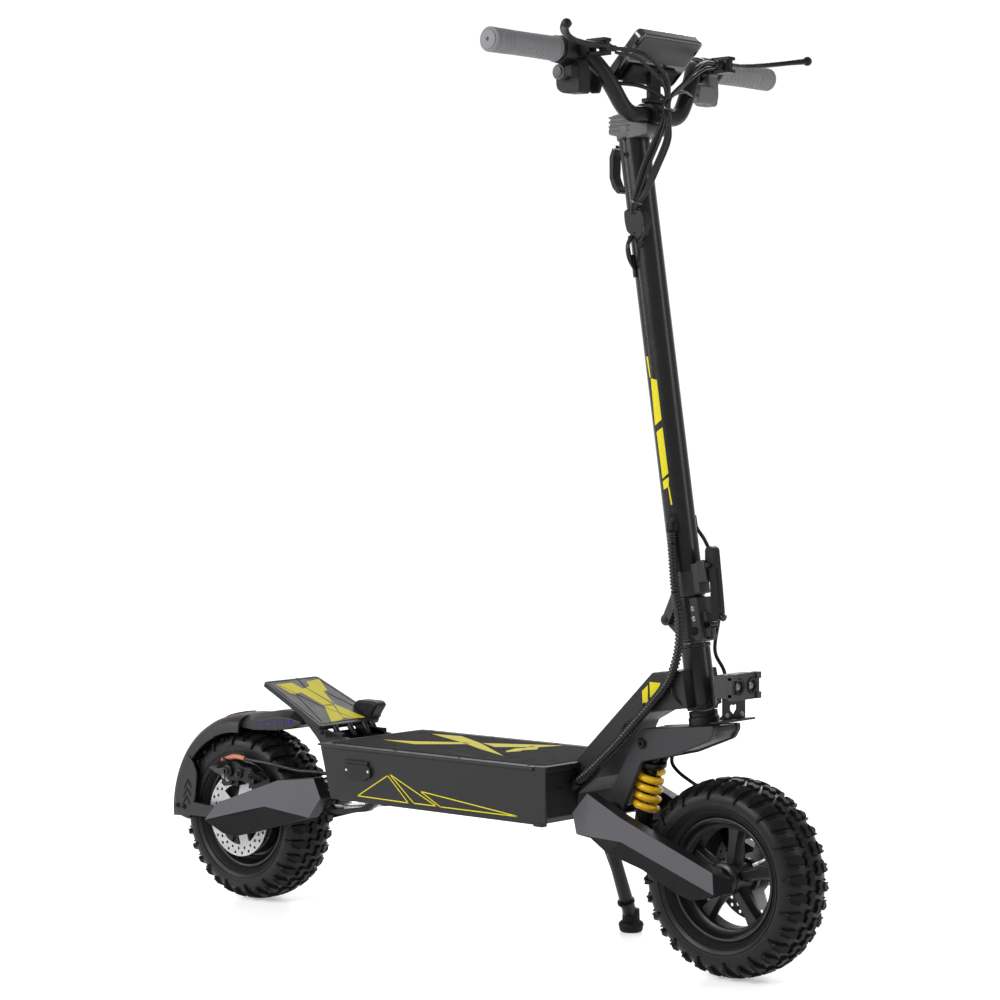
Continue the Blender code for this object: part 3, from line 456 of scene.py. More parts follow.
def bolt(place, direction, radius, height=None, washer=True):
    """A socket-head bolt: a domed head with a six-sided recess, on a washer."""
    direction = Vector(direction).normalized()
    height = radius * 0.75 if height is None else height
    side, other = frame_of(direction)
    place = Vector(place)
    recess = radius * 0.5
    rings = [(radius, 0.0, 24), (radius, height * 0.75, 24), (radius * 0.88, height, 24),
             (recess * 1.1, height, 6), (recess, height * 0.9, 6), (recess, height * 0.35, 6)]
    corners, faces = [], []
    for r, h, count in rings:
        for i in range(24):
            turn = 2 * pi * i / 24
            reach = r if count == 24 else r * cos(pi / 6) / cos((turn % (pi / 3)) - pi / 6)
            corners.append(place + direction * h + side * (reach * cos(turn)) + other * (reach * sin(turn)))
    for ring in range(len(rings) - 1):
        for i in range(24):
            j = (i + 1) % 24
            faces.append((ring * 24 + i, ring * 24 + j, (ring + 1) * 24 + j, (ring + 1) * 24 + i))
    faces.append(tuple(range((len(rings) - 1) * 24, len(rings) * 24)))
    faces.append(tuple(reversed(range(24))))
    solids = [(corners, faces)]
    if washer:
        solids.append(rod(place - direction * 0.0002, place + direction * height * 0.18, radius * 1.45,
                          steps=24))
    return solids


def bolt_pair(x, y, z, radius):
    """The same bolt on both sides of the scooter, facing out."""
    return bolt((x, -y, z), RIGHT, radius) + bolt((x, y, z), LEFT, radius)


# Pieces
def ease_edges(thing, width, degrees):
    """Round off every edge that turns by more than the angle."""
    edge = thing.modifiers.new("edges", "BEVEL")
    edge.width = width
    edge.segments = 2
    edge.limit_method = "ANGLE"
    edge.angle_limit = radians(degrees)


def piece(name, solids, surface, body, bevel=0.0, smooth=32, hides=()):
    """Join solids into one object that rides on a body and may stand for CAD nodes."""
    corners, faces = [], []
    for solid in solids:
        base = len(corners)
        corners += [Vector(v) + SHIFT for v in solid[0]]
        faces += [tuple(base + i for i in face) for face in solid[1]]
    mesh = bpy.data.meshes.new(name)
    mesh.from_pydata(corners, [], faces)
    bm = bmesh.new()
    bm.from_mesh(mesh)
    bmesh.ops.remove_doubles(bm, verts=bm.verts, dist=WELD_GAP)
    bmesh.ops.dissolve_degenerate(bm, dist=1e-7, edges=bm.edges)
    bmesh.ops.recalc_face_normals(bm, faces=bm.faces)
    bm.to_mesh(mesh)
    bm.free()
    mesh.materials.append(SURFACES[surface].material)
    thing = bpy.data.objects.new(name, mesh)
    bpy.context.scene.collection.objects.link(thing)
    if bevel:
        ease_edges(thing, bevel, smooth)
    mesh.shade_smooth()
    mesh.set_sharp_from_angle(angle=radians(50 if bevel else smooth))
    if hides:
        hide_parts(*hides)
    if body:
        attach(thing, body)
    return thing


def repaint(node, surface, bevel=0.0):
    """A CAD node that stays: weld it, soften its edges and give it a surface."""
    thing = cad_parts[node]
    thing.data.materials.clear()
    thing.data.materials.append(SURFACES[surface].material)
    if bevel:
        weld = thing.modifiers.new("weld", "WELD")
        weld.merge_threshold = 0.00002
        ease_edges(thing, bevel, 32)


# Wheels
TREAD_HALF = [(0.1258, 0.0), (0.1256, 0.008), (0.1247, 0.016), (0.1226, 0.0245), (0.119, 0.032),
              (0.114, 0.0378), (0.108, 0.0412), (0.1, 0.0418), (0.093, 0.0396), (0.087, 0.0352),
              (0.0828, 0.029)]
KNOB_HEIGHT = 0.0042
PITCHES = 32
ROLLING_R = 0.1285


def tread_point(s):
    """Radius, offset and outward slope of the carcass, s metres across from its middle."""
    left, sign = abs(s), (1 if s >= 0 else -1)
    for (r0, y0), (r1, y1) in zip(TREAD_HALF, TREAD_HALF[1:]):
        step = hypot(r1 - r0, y1 - y0)
        if left <= step:
            t = left / step
            return (r0 + (r1 - r0) * t, sign * (y0 + (y1 - y0) * t),
                    (y1 - y0) / step, -sign * (r1 - r0) / step)
        left -= step
    return r1, sign * y1, (y1 - y0) / step, -sign * (r1 - r0) / step


def knob(centre, outline, turn, height):
    """A tread block: an outline of (across, along) raised from the carcass."""
    mid_s = sum(p[0] for p in outline) / len(outline)
    mid_a = sum(p[1] for p in outline) / len(outline)
    corners = []
    for lift, shrink in ((-0.0012, 1.0), (height * 0.72, 0.94), (height, 0.84)):
        for s, a in outline:
            s, a = mid_s + (s - mid_s) * shrink, mid_a + (a - mid_a) * shrink
            r, y, out_r, out_y = tread_point(s)
            fade = 1.0 if lift < 0 else 1.0 + 0.45 * max(0.0, 1 - abs(abs(s) - 0.038) / 0.01)
            r, y = r + out_r * lift * fade, y + out_y * lift * fade
            angle = turn + a / ROLLING_R
            corners.append(centre + Vector((r * cos(angle), y, r * sin(angle))))
    n = len(outline)
    faces = [(ring * n + i, ring * n + (i + 1) % n, (ring + 1) * n + (i + 1) % n, (ring + 1) * n + i)
             for ring in (0, 1) for i in range(n)]
    faces += [tuple(range(2 * n, 3 * n)), tuple(reversed(range(n)))]
    return corners, faces


MIDDLE_KNOB = [(0.0012, -0.008), (0.01, -0.0112), (0.0158, -0.0062), (0.0118, 0.0), (0.015, 0.0068),
               (0.0095, 0.0098), (0.0022, 0.0066), (0.0052, -0.0006)]
SIDE_KNOB = [(0.0178, -0.005), (0.0235, -0.0088), (0.03, -0.0082), (0.036, -0.007), (0.0425, -0.0062),
             (0.0445, -0.002), (0.0425, 0.0008), (0.036, 0.0024), (0.03, 0.004), (0.0235, 0.0052),
             (0.0172, 0.0058)]
LONG_TIP = [(0.041, -0.0056), (0.0455, -0.0052), (0.051, -0.0044), (0.051, -0.001), (0.0455, 0.0),
            (0.041, 0.0006)]
SIPE = [(0.025, 0.0066), (0.04, 0.0034), (0.04, 0.0058), (0.025, 0.0092)]


def make_tyre(centre, name, body, node):
    half = TREAD_HALF + [(0.08, 0.0262), (0.0788, 0.023)]
    profile = half + [(r, -y) for r, y in reversed(half[1:])]
    carcass = lathe(profile, centre, LEFT, steps=128)
    lines = []
    for side in (-1, 1):
        for r, y in ((0.089, 0.0372), (0.0955, 0.0408)):
            ring = [(r - 0.0009, side * (y - 0.001)), (r - 0.0004, side * (y + 0.0007)),
                    (r + 0.0004, side * (y + 0.0008)), (r + 0.0009, side * (y - 0.001))]
            lines.append(lathe(ring, centre, LEFT, steps=128))
    # The sidewall's rubber is lighter than the tread's as painted sheen.
    piece(name + "_sidewall", [carcass] + lines, "side_rubber_painted_sheen", body, smooth=40, hides=(node,))
    knobs = []
    for i in range(PITCHES):
        for side in (-1, 1):
            turn = 2 * pi * (i + (0.0 if side > 0 else 0.5)) / PITCHES
            shapes = [(MIDDLE_KNOB, KNOB_HEIGHT), (SIDE_KNOB, KNOB_HEIGHT), (SIPE, KNOB_HEIGHT * 0.4)]
            if i % 2 == 0:
                shapes.append((LONG_TIP, KNOB_HEIGHT * 0.7))
            for outline, height in shapes:
                flip = [(s * side, a * side) for s, a in outline]
                knobs.append(knob(centre, flip, turn, height))
    piece(name + "_tread", knobs, "rubber", body, smooth=25)


def rim_profile():
    half = [(RIM_R, 0.0283), (0.0786, 0.029), (0.0762, 0.0283), (0.075, 0.0255), (0.0738, 0.02),
            (0.07, 0.015), (0.0672, 0.0138), (0.0655, 0.0128), (0.065, 0.01)]
    outside = [(0.0785, 0.0), (0.0785, 0.0228), (RIM_R, 0.025)]
    return ([(r, y) for r, y in half] + [(r, -y) for r, y in reversed(half)]
            + [(r, -y) for r, y in reversed(outside)] + [(r, y) for r, y in outside[1:]])


def spoke(centre, degrees):
    """A spoke with a ridged middle and sloping flanks, wider at the rim."""
    turn = radians(degrees)
    out = Vector((cos(turn), 0, sin(turn)))
    across = Vector((-sin(turn), 0, cos(turn)))
    sections = []
    for reach, half, depth in ((0.012, 0.0085, 0.015), (0.03, 0.0088, 0.0125), (0.05, 0.01, 0.0098),
                               (0.0665, 0.0135, 0.009)):
        section = [(-half, 0), (-half * 0.62, depth), (half * 0.62, depth), (half, 0),
                   (half * 0.62, -depth), (-half * 0.62, -depth)]
        sections.append([centre + out * reach + across * a + Vector((0, b, 0)) for a, b in section])
    return loft(sections)


def make_disc(centre, side, name, body, node):
    """A drilled ring on a five-armed carrier, with its bolts."""
    holes = [circle(*arc(0, 0, 0.0575 if i % 2 else 0.0505, 360 * i / 48, 360 * i / 48, 1)[0], 0.0023, 12)
             for i in range(48)]
    for i in range(5):
        a = 72 * i
        holes.append(rounded(arc(0, 0, 0.0448, a + 12, a + 60, 8) + arc(0, 0, 0.027, a + 52, a + 20, 5),
                             0.003, 2))
    holes.append(circle(0, 0, 0.015, 32))
    disc = slab(circle(0, 0, DISC_R, 96), centre + Vector((0, side * DISC_Y + 0.0009, 0)), AHEAD, UP,
                0.0018, holes)
    piece(name, [disc], "disc_steel", body, bevel=0.0002, hides=(node,))
    bolts = []
    for i in range(5):
        x, z = arc(0, 0, 0.0205, 72 * i, 72 * i, 1)[0]
        bolts += bolt(centre + Vector((x, side * (DISC_Y + 0.0009), z)), (0, side, 0), 0.0028, washer=False)
    piece(name + "_bolts", bolts, "black_bolt", body)


def make_calliper(centre, side, degrees, name, body, node):
    """Two drilled halves astride the disc, their bridge, bolts and banjo."""
    turn = Matrix.Translation(centre) @ Matrix.Rotation(-radians(degrees), 4, "Y")
    base = side * DISC_Y

    def placed(solid):
        return moved(solid, turn)

    def place(x, y, z):
        return turn @ Vector((x, y, z))

    half = rounded([(0.044, -0.0165), (0.056, -0.019), (0.07, -0.015), (0.0725, 0.0), (0.07, 0.015),
                    (0.056, 0.019), (0.044, 0.0165), (0.046, 0.0)], 0.004, 4)
    outer = sorted((base + side * 0.0028, base + side * 0.013))
    inner = sorted((base - side * 0.0022, base - side * 0.0052))
    solids = [placed(plate(half, *outer)), placed(plate(half, *inner)),
              placed(box((0.0645, min(outer[0], inner[0]), -0.0125),
                         (0.0715, max(outer[1], inner[1]), 0.0125)))]
    face = base + side * 0.013
    tip = face + side * 0.0034
    solids.append(rod(place(0.056, face - side * 0.001, 0), place(0.056, tip, 0), 0.0095))
    piece(name, solids, "black_metal", body, bevel=0.0008, hides=(node,))
    bolts = []
    for z in (-0.0135, 0.0135):
        bolts += bolt(place(0.06, face, z), (0, side, 0), 0.003)
    bolts += bolt(place(0.056, tip, 0), (0, side, 0), 0.0042, 0.0018, washer=False)
    piece(name + "_bolts", bolts, "bolt_steel", body)


def hub(centre):
    """The front wheel's hub: a waisted barrel with a nose on each side."""
    half = [(0.0115, 0.0395), (0.015, 0.0392), (0.016, 0.038), (0.0165, 0.03), (0.0205, 0.0285),
            (0.023, 0.0262), (0.023, 0.019), (0.0195, 0.015), (0.0195, 0.0)]
    profile = half + [(r, -y) for r, y in reversed(half[:-1])] + [(0.0064, -0.038), (0.0064, 0.038)]
    return lathe(profile, centre, LEFT, steps=64)


def make_front_wheel():
    solids = [lathe(rim_profile(), FRONT_AXLE, LEFT, steps=128), hub(FRONT_AXLE)]
    solids += [spoke(FRONT_AXLE, 72 * i + 14) for i in range(5)]
    piece("front_wheel_casting", solids, "wheel_paint", "front_wheel", bevel=0.0007, smooth=30,
          hides=("front_rim",))
    turn = radians(28)
    out = Vector((cos(turn), 0, sin(turn)))
    foot = FRONT_AXLE + out * 0.0665 + Vector((0, -0.009, 0))
    tip = FRONT_AXLE + out * 0.045 + Vector((0, -0.0135, 0))
    stem = [rod(foot, foot.lerp(tip, 0.62), 0.0024), rod(foot.lerp(tip, 0.6), tip, 0.0031, 0.0028)]
    piece("front_valve", stem, "bolt_steel", "front_wheel")
    make_tyre(FRONT_AXLE, "front_tyre_rubber", "front_wheel", "front_tyre")
    make_disc(FRONT_AXLE, 1, "front_disc_drilled", "front_wheel", "front_brake_disc")
    make_calliper(FRONT_AXLE, 1, 124, "front_calliper_body", "front_arm", "front_calliper")


def make_rear_wheel():
    drum = [(0.0085, 0.0395), (0.015, 0.0395), (0.016, 0.0385), (0.0165, 0.0345), (0.03, 0.0335),
            (0.033, 0.0315), (0.056, 0.03), (0.0595, 0.0285), (0.061, 0.0255), (0.0615, 0.0)]
    profile = drum + [(r, -y) for r, y in reversed(drum[:-1])]
    solids = [lathe(rim_profile(), REAR_AXLE, LEFT, steps=128),
              lathe(profile, REAR_AXLE, LEFT, steps=96),
              lathe([(0.06, -0.009), (0.066, -0.009), (0.066, 0.009), (0.06, 0.009)], REAR_AXLE,
                    LEFT, steps=96)]
    for side in (-1, 1):
        for i in range(18):
            turn = Matrix.Translation(REAR_AXLE) @ Matrix.Rotation(2 * pi * i / 18, 4, "Y")
            rib = box((0.0345, min(side * 0.029, side * 0.0322), -0.0011),
                      (0.0575, max(side * 0.029, side * 0.0322), 0.0011))
            solids.append(moved(rib, turn))
    piece("rear_motor_casting", solids, "wheel_paint", "rear_wheel", bevel=0.0005, smooth=30,
          hides=("rear_hub_motor",))
    bolts = []
    for side in (-1, 1):
        for i in range(9):
            x, z = arc(0, 0, 0.0585, 40 * i + 8, 40 * i + 8, 1)[0]
            bolts += bolt(REAR_AXLE + Vector((x, side * 0.0272, z)), (0, side, 0), 0.0021, washer=False)
    piece("rear_motor_bolts", bolts, "bolt_steel", "rear_wheel")
    make_tyre(REAR_AXLE, "rear_tyre_rubber", "rear_wheel", "rear_tyre")
    make_disc(REAR_AXLE, -1, "rear_disc_drilled", "rear_wheel", "rear_brake_disc")
    make_calliper(REAR_AXLE, -1, 95, "rear_calliper_body", "rear_arm", "rear_calliper")


# Swing arms: faceted castings
def casting(points, outer_faces, rim, inner_y):
    """A faceted shell: named outer points and faces, closed by a flat inner side."""
    names = list(points)
    corners = [Vector(points[name]) for name in names]
    index = {name: i for i, name in enumerate(names)}
    faces = [tuple(index[name] for name in face.split()) for face in outer_faces]
    loop = [index[name] for name in rim.split()]
    base = len(corners)
    corners += [Vector((corners[i].x, inner_y, corners[i].z)) for i in loop]
    for i in range(len(loop)):
        j = (i + 1) % len(loop)
        faces.append((loop[i], loop[j], base + j, base + i))
    faces.append(tuple(base + i for i in range(len(loop))))
    return corners, faces


def make_front_arm():
    points = {"a": (-0.187, -0.0745, 0.23), "b": (-0.212, -0.075, 0.202), "c": (-0.205, -0.0755, 0.174),
              "d": (-0.126, -0.079, 0.172), "e": (0.023, -0.0765, 0.119), "f": (0.021, -0.076, 0.147),
              "g": (-0.128, -0.0785, 0.204), "h": (0.037, -0.064, 0.14), "i": (0.04, -0.064, 0.122),
              "p": (-0.1867, -0.068, 0.1696), "q": (-0.1588, -0.068, 0.1524), "r": (-0.1, -0.068, 0.1373),
              "s": (-0.0425, -0.068, 0.1118), "t": (-0.0198, -0.068, 0.1061), "u": (0.0101, -0.068, 0.1119)}
    upper = ["a b c d g", "g d e f"]
    belly = ["f e i h", "c p q d", "d q r", "d r s e", "e s t u", "e u i"]
    rim = "a b c p q r s t u i h f g"
    make_arm("front_arm", points, upper, belly, rim)


def make_rear_arm():
    x = REAR_AXLE.x
    points = {"a": (x - 0.038, -0.0765, 0.1225), "b": (x - 0.009, -0.0765, 0.151),
              "c": (x + 0.123, -0.078, 0.1964), "d": (x + 0.198, -0.078, 0.2058),
              "e": (x + 0.212, -0.0775, 0.1774), "f": (x + 0.188, -0.078, 0.1474),
              "g": (x + 0.096, -0.079, 0.1554), "h": (x - 0.006, -0.068, 0.1044),
              "i": (x + 0.018, -0.068, 0.102), "j": (x + 0.045, -0.068, 0.1085),
              "k": (x + 0.08, -0.068, 0.118), "l": (x + 0.0455, -0.073, 0.1453),
              "m": (x - 0.045, -0.064, 0.119)}
    upper = ["a b c g", "g c d e f"]
    belly = ["a l j i h", "a h m", "l g k j", "g f k"]
    rim = "a b c d e f k j i h m"
    make_arm("rear_arm", points, upper + ["a g l"], belly, rim)


def make_arm(body, points, upper, belly, rim):
    """Both arms of a pair: painted flanks, darker faceted undersides and a dark edge."""
    for side in ("right", "left"):
        shell = casting(points, upper + belly, rim, -ARM_IN)
        if side == "left":
            shell = mirrored(shell)
        thing = piece(body + "_casting_" + side, [shell], "arm_paint", body, bevel=0.0009, smooth=8,
                      hides=(body + "_" + side,))
        thing.data.materials.append(SURFACES["belly_paint"].material)
        thing.data.materials.append(SURFACES["frame_paint"].material)
        bright = len(upper)
        for face in thing.data.polygons:
            if face.index >= bright:
                face.material_index = 1 if face.index < bright + len(belly) else 2
        thing.data.set_sharp_from_angle(angle=radians(8))


# Deck
def strip(points, width, height, origin, across, up, closed=True):
    """A thin painted line of flat bars along an outline in a plane."""
    solids = []
    count = len(points) if closed else len(points) - 1
    for i in range(count):
        a, b = Vector(points[i]), Vector(points[(i + 1) % len(points)])
        along = (b - a).normalized()
        beside = Vector((-along.y, along.x)) * (width / 2)
        a, b = a - along * (width * 0.45), b + along * (width * 0.45)
        bar = [a - beside, b - beside, b + beside, a + beside]
        solids.append(slab([(p.x, p.y) for p in bar], origin, across, up, height))
    return solids


SIDE_LINES = [[(-0.5773, 0.195), (-0.5184, 0.2286), (-0.4793, 0.194)],
              [(-0.5146, 0.2308), (-0.4266, 0.1946), (-0.4688, 0.1945)],
              [(-0.4561, 0.2122), (-0.2763, 0.1945), (-0.4189, 0.1942)]]
TOP_SHARDS = [[(-0.6011, 0.0702), (-0.549, 0.0766), (-0.471, 0.0321), (-0.3548, -0.0511),
               (-0.4303, -0.0147), (-0.4883, 0.0179)],
              [(-0.608, -0.025), (-0.5588, -0.0102), (-0.4969, 0.0257), (-0.478, 0.0152),
               (-0.5363, -0.0339)],
              [(-0.4701, 0.0353), (-0.3651, 0.0872), (-0.379, 0.0515), (-0.4279, 0.0138)],
              [(-0.3856, -0.0112), (-0.395, 0.02), (-0.388, 0.033), (-0.3953, 0.0526),
               (-0.3754, 0.0473), (-0.3647, 0.0297), (-0.3751, 0.0117), (-0.37, 0.002), (-0.3775, -0.0186)]]
TOP_SEAMS = [[(-0.648, 0.0364), (-0.6, 0.098)], [(-0.63, -0.096), (-0.55, -0.05)],
             [(-0.3575, 0.0764), (-0.29, 0.0544)], [(-0.33, -0.09), (-0.29, -0.04)],
             [(-0.52, -0.096), (-0.45, -0.06), (-0.35, -0.096)]]


def make_deck():
    repaint("deck_shell", "frame_paint", 0.001)
    repaint("deck_lid", "frame_paint", 0.0012)
    repaint("battery_pack", "cell_blue", 0.001)
    repaint("motor_controller", "cast_alloy", 0.001)
    top = rounded([(-0.65, -0.095), (-0.255, -0.095), (-0.245, -0.085), (-0.245, 0.085),
                   (-0.255, 0.095), (-0.65, 0.095)], 0.012)
    mat = slab(top, (0, 0, DECK_TOP), AHEAD, LEFT, 0.0007)
    piece("deck_mat", [mat], "deck_grip", "chassis", bevel=0.0002)
    level = (0, 0, DECK_TOP + 0.0007)
    shards = [slab(s, level, AHEAD, LEFT, 0.00025) for s in TOP_SHARDS]
    piece("deck_shards", shards, "decal_yellow", "chassis")
    seams = []
    for line in TOP_SEAMS:
        seams += strip(line, 0.0012, 0.0002, level, AHEAD, LEFT, closed=False)
    piece("deck_seams", seams, "decal_dark", "chassis")
    lines = []
    for outline in SIDE_LINES:
        lines += strip(outline, 0.0014, 0.0002, (0, -DECK_SIDE - 0.0002, 0), AHEAD, UP)
    piece("deck_side_lines", both_sides(*lines), "decal_yellow", "chassis")
    rail = smooth_route([(-0.648, -0.1088, 0.2604), (-0.45, -0.1088, 0.2604), (-0.25, -0.1088, 0.2604)],
                        0.05)
    piece("deck_rails", both_sides(tube(rail, 0.0028, 12)), "frame_paint", "chassis", smooth=60)
    nose = [box((-0.25, -0.1094, 0.1866), (-0.229, -0.106, 0.2638)),
            box((-0.25, -0.111, 0.184), (-0.234, -0.1, 0.1885)),
            box((-0.2375, -0.106, 0.257), (-0.229, 0.106, 0.2642))]
    piece("deck_nose_frame", both_sides(*nose[:2]) + nose[2:], "frame_paint", "chassis", bevel=0.0012)
    screws = []
    for x in (-0.63, -0.51, -0.39, -0.265):
        for y in (-0.1015, 0.1015):
            screws += bolt((x, y, DECK_TOP), UP, 0.0024, 0.0009, washer=False)
    for y in (-0.08, -0.03, 0.03, 0.08):
        screws += bolt((-0.229, y, 0.233), AHEAD, 0.0026, 0.0012)
    piece("deck_screws", screws, "black_bolt", "chassis")
    ribs = [box((x - 0.0015, -0.06, 0.1836), (x + 0.0015, 0.06, 0.1862))
            for x in [-0.56 + 0.03 * i for i in range(10)]]
    piece("deck_floor_ribs", ribs, "frame_paint", "chassis", bevel=0.0006)


def make_rear_lug():
    outline = rounded([(-0.58, 0.1862), (-0.612, 0.163), (-0.676, 0.153), (-0.706, 0.158),
                       (-0.706, 0.1862)], 0.004)
    window = rounded([(-0.604, 0.1805), (-0.622, 0.1685), (-0.674, 0.16), (-0.686, 0.162),
                      (-0.686, 0.1805)], 0.004)
    cheeks = both_sides(plate(outline, -0.055, -0.046, holes=(window,)))
    pin = REAR_PIVOT
    shaft = [cross_bar(pin, 0.064, 0.006)]
    shaft += both_sides(rod(pin + Vector((0, -0.0566, 0)), pin + Vector((0, -0.046, 0)), 0.0115))
    webs = [box((-0.66, -0.047, 0.176), (-0.59, 0.047, 0.1862))]
    piece("rear_lug_cheeks", cheeks + shaft + webs, "black_metal", "chassis", bevel=0.0008,
          hides=("rear_pivot_lug",))


def make_charge_cover():
    y = -DECK_SIDE - 0.0003
    face = rounded([(-0.6, 0.22), (-0.592, 0.2182), (-0.56, 0.2182), (-0.554, 0.224),
                    (-0.554, 0.2395), (-0.6, 0.2395)], 0.003)
    hinge = rounded([(-0.601, 0.24), (-0.555, 0.24), (-0.555, 0.2446), (-0.601, 0.2446)], 0.002)
    tab = rounded([(-0.56, 0.22), (-0.55, 0.223), (-0.548, 0.231), (-0.55, 0.237),
                   (-0.56, 0.2395)], 0.004)
    solids = [plate(face, y - 0.0028, y), plate(tab, y - 0.0042, y)]
    piece("charge_hinge", [plate(hinge, y - 0.003, y)], "plastic", "chassis", bevel=0.0006)
    piece("charge_flap", solids, "plastic", "charge_cover", bevel=0.0006, hides=("charge_cover",))
    screws = bolt((-0.5965, y - 0.0028, 0.2305), RIGHT, 0.0017, 0.0008, washer=False)
    screws += bolt((-0.553, y - 0.0042, 0.2312), RIGHT, 0.0019, 0.0008, washer=False)
    piece("charge_flap_screws", screws, "steel", "charge_cover")


# Foot rest over the rear wheel
REST_REAR = Vector((-0.8235, 0, 0.336))
REST_FRONT = Vector((-0.704, 0, 0.28))
REST_ALONG = (REST_REAR - REST_FRONT).normalized()
REST_UP = Vector((REST_ALONG.z, 0, -REST_ALONG.x))
# Across the rest, outlines run (along from its front edge, across to the left)
REST_SHAPE = [(-0.001, -0.06), (0.13, -0.056), (0.133, -0.052), (0.133, 0.052), (0.13, 0.056),
              (0.006, 0.07), (-0.002, 0.065), (-0.003, -0.055)]
REST_MARKS = [[(0.1205, -0.0408), (0.121, -0.0087), (0.1015, -0.0022), (0.103, 0.0042), (0.0505, 0.0139),
               (0.052, -0.0046), (0.092, -0.0147), (0.089, -0.029), (0.093, -0.0353)],
              [(0.12, 0.0212), (0.1225, 0.05), (0.0895, 0.0382), (0.0885, 0.0285), (0.053, 0.0179),
               (0.104, 0.006), (0.1065, 0.0159)],
              [(0.0495, -0.0047), (0.048, 0.0125), (0.0095, -0.0013), (0.006, -0.0156), (0.0055, -0.0296)],
              [(0.052, 0.017), (0.006, 0.0418), (0.008, 0.0107), (0.013, 0.001)]]
REST_SEAMS = [[(0.118, -0.037), (0.048, -0.0095), (0.008, 0.018)], [(0.085, -0.0292), (0.01, -0.0451)],
              [(0.133, 0.0123), (0.103, 0.005)], [(0.083, 0.032), (0.008, 0.062)],
              [(0.129, -0.05), (0.129, 0.05), (0.006, 0.064), (0.004, -0.053), (0.129, -0.05)]]


def on_rest(outline, lift, thickness):
    """An outline on the rest's slope, lying between lift and lift minus the thickness."""
    return slab(outline, REST_FRONT + REST_UP * lift, REST_ALONG, LEFT, thickness)


def make_foot_rest():
    board = on_rest(rounded(REST_SHAPE, 0.006), 0, 0.007)
    piece("foot_rest", [board], "frame_paint", "chassis", bevel=0.0014, hides=("kick_plate",))
    piece("foot_rest_marks", [on_rest(m, 0.0003, 0.0006) for m in REST_MARKS], "decal_yellow", "chassis")
    seams = []
    for line in REST_SEAMS:
        seams += strip(line, 0.0011, 0.0008, REST_FRONT + REST_UP * 0.0004, REST_ALONG, LEFT, closed=False)
    piece("foot_rest_seams", seams, "decal_dark", "chassis")
    wedge = rounded([(-0.744, 0.299), (-0.736, 0.3062), (-0.701, 0.3062), (-0.695, 0.3), (-0.706, 0.286),
                     (-0.708, 0.279), (-0.718, 0.279), (-0.744, 0.29)], 0.004)
    piece("fold_catch", [plate(wedge, 0.05, 0.074)], "frame_paint", "chassis", bevel=0.003)

    under = REST_FRONT - REST_UP * 0.0072
    top_rear = under + REST_ALONG * 0.088
    cheek = [(-0.6583, 0.264), (-0.67, 0.264), (under.x - 0.004, under.z + 0.001), (top_rear.x, top_rear.z),
             (-0.75, 0.284), (-0.725, 0.262), (-0.706, 0.242), (-0.694, 0.224), (-0.686, 0.2),
             (-0.6583, 0.2)]
    cheeks = both_sides(plate(rounded(cheek, 0.006), -0.046, -0.041))
    web = [box((-0.664, -0.042, 0.216), (-0.6585, 0.042, 0.262))]
    for a, b in (((-0.729, 0.264), (-0.702, 0.239)), ((-0.702, 0.239), (-0.6945, 0.223))):
        p, q = Vector((a[0], 0, a[1])), Vector((b[0], 0, b[1]))
        side = (q - p).normalized().cross(LEFT) * 0.002
        corners = [(v.x, v.z) for v in (p - side, q - side, q + side, p + side)]
        web.append(plate(corners, -0.0415, 0.0415))
    piece("foot_rest_support", cheeks + web, "frame_paint", "chassis", bevel=0.001, hides=("kick_support",))
    posts = []
    for y in (-0.03, 0.0, 0.03, 0.046):
        foot = Vector((-0.69, y, DECK_TOP))
        posts.append(rod(foot + Vector((0, 0, -0.002)), Vector((-0.702, y, 0.277)), 0.0036, 0.0046))
    posts += both_sides(box((-0.706, 0.041, 0.26), (-0.67, 0.046, 0.27)))
    piece("foot_rest_posts", posts, "black_metal", "chassis", bevel=0.0005)
    bolts = []
    for z, x in ((0.268, -0.712), (0.23, -0.67), (0.25, -0.67)):
        bolts += bolt_pair(x, 0.046, z, 0.0028)
    piece("foot_rest_bolts", bolts, "black_bolt", "chassis")


# Fender and tail light
def fender_band(profile, start, end, steps=60):
    centre = REAR_AXLE + Vector((0.004, 0, -0.003))
    return lathe(profile, centre, LEFT, steps=steps, start=radians(start), sweep=radians(end - start))


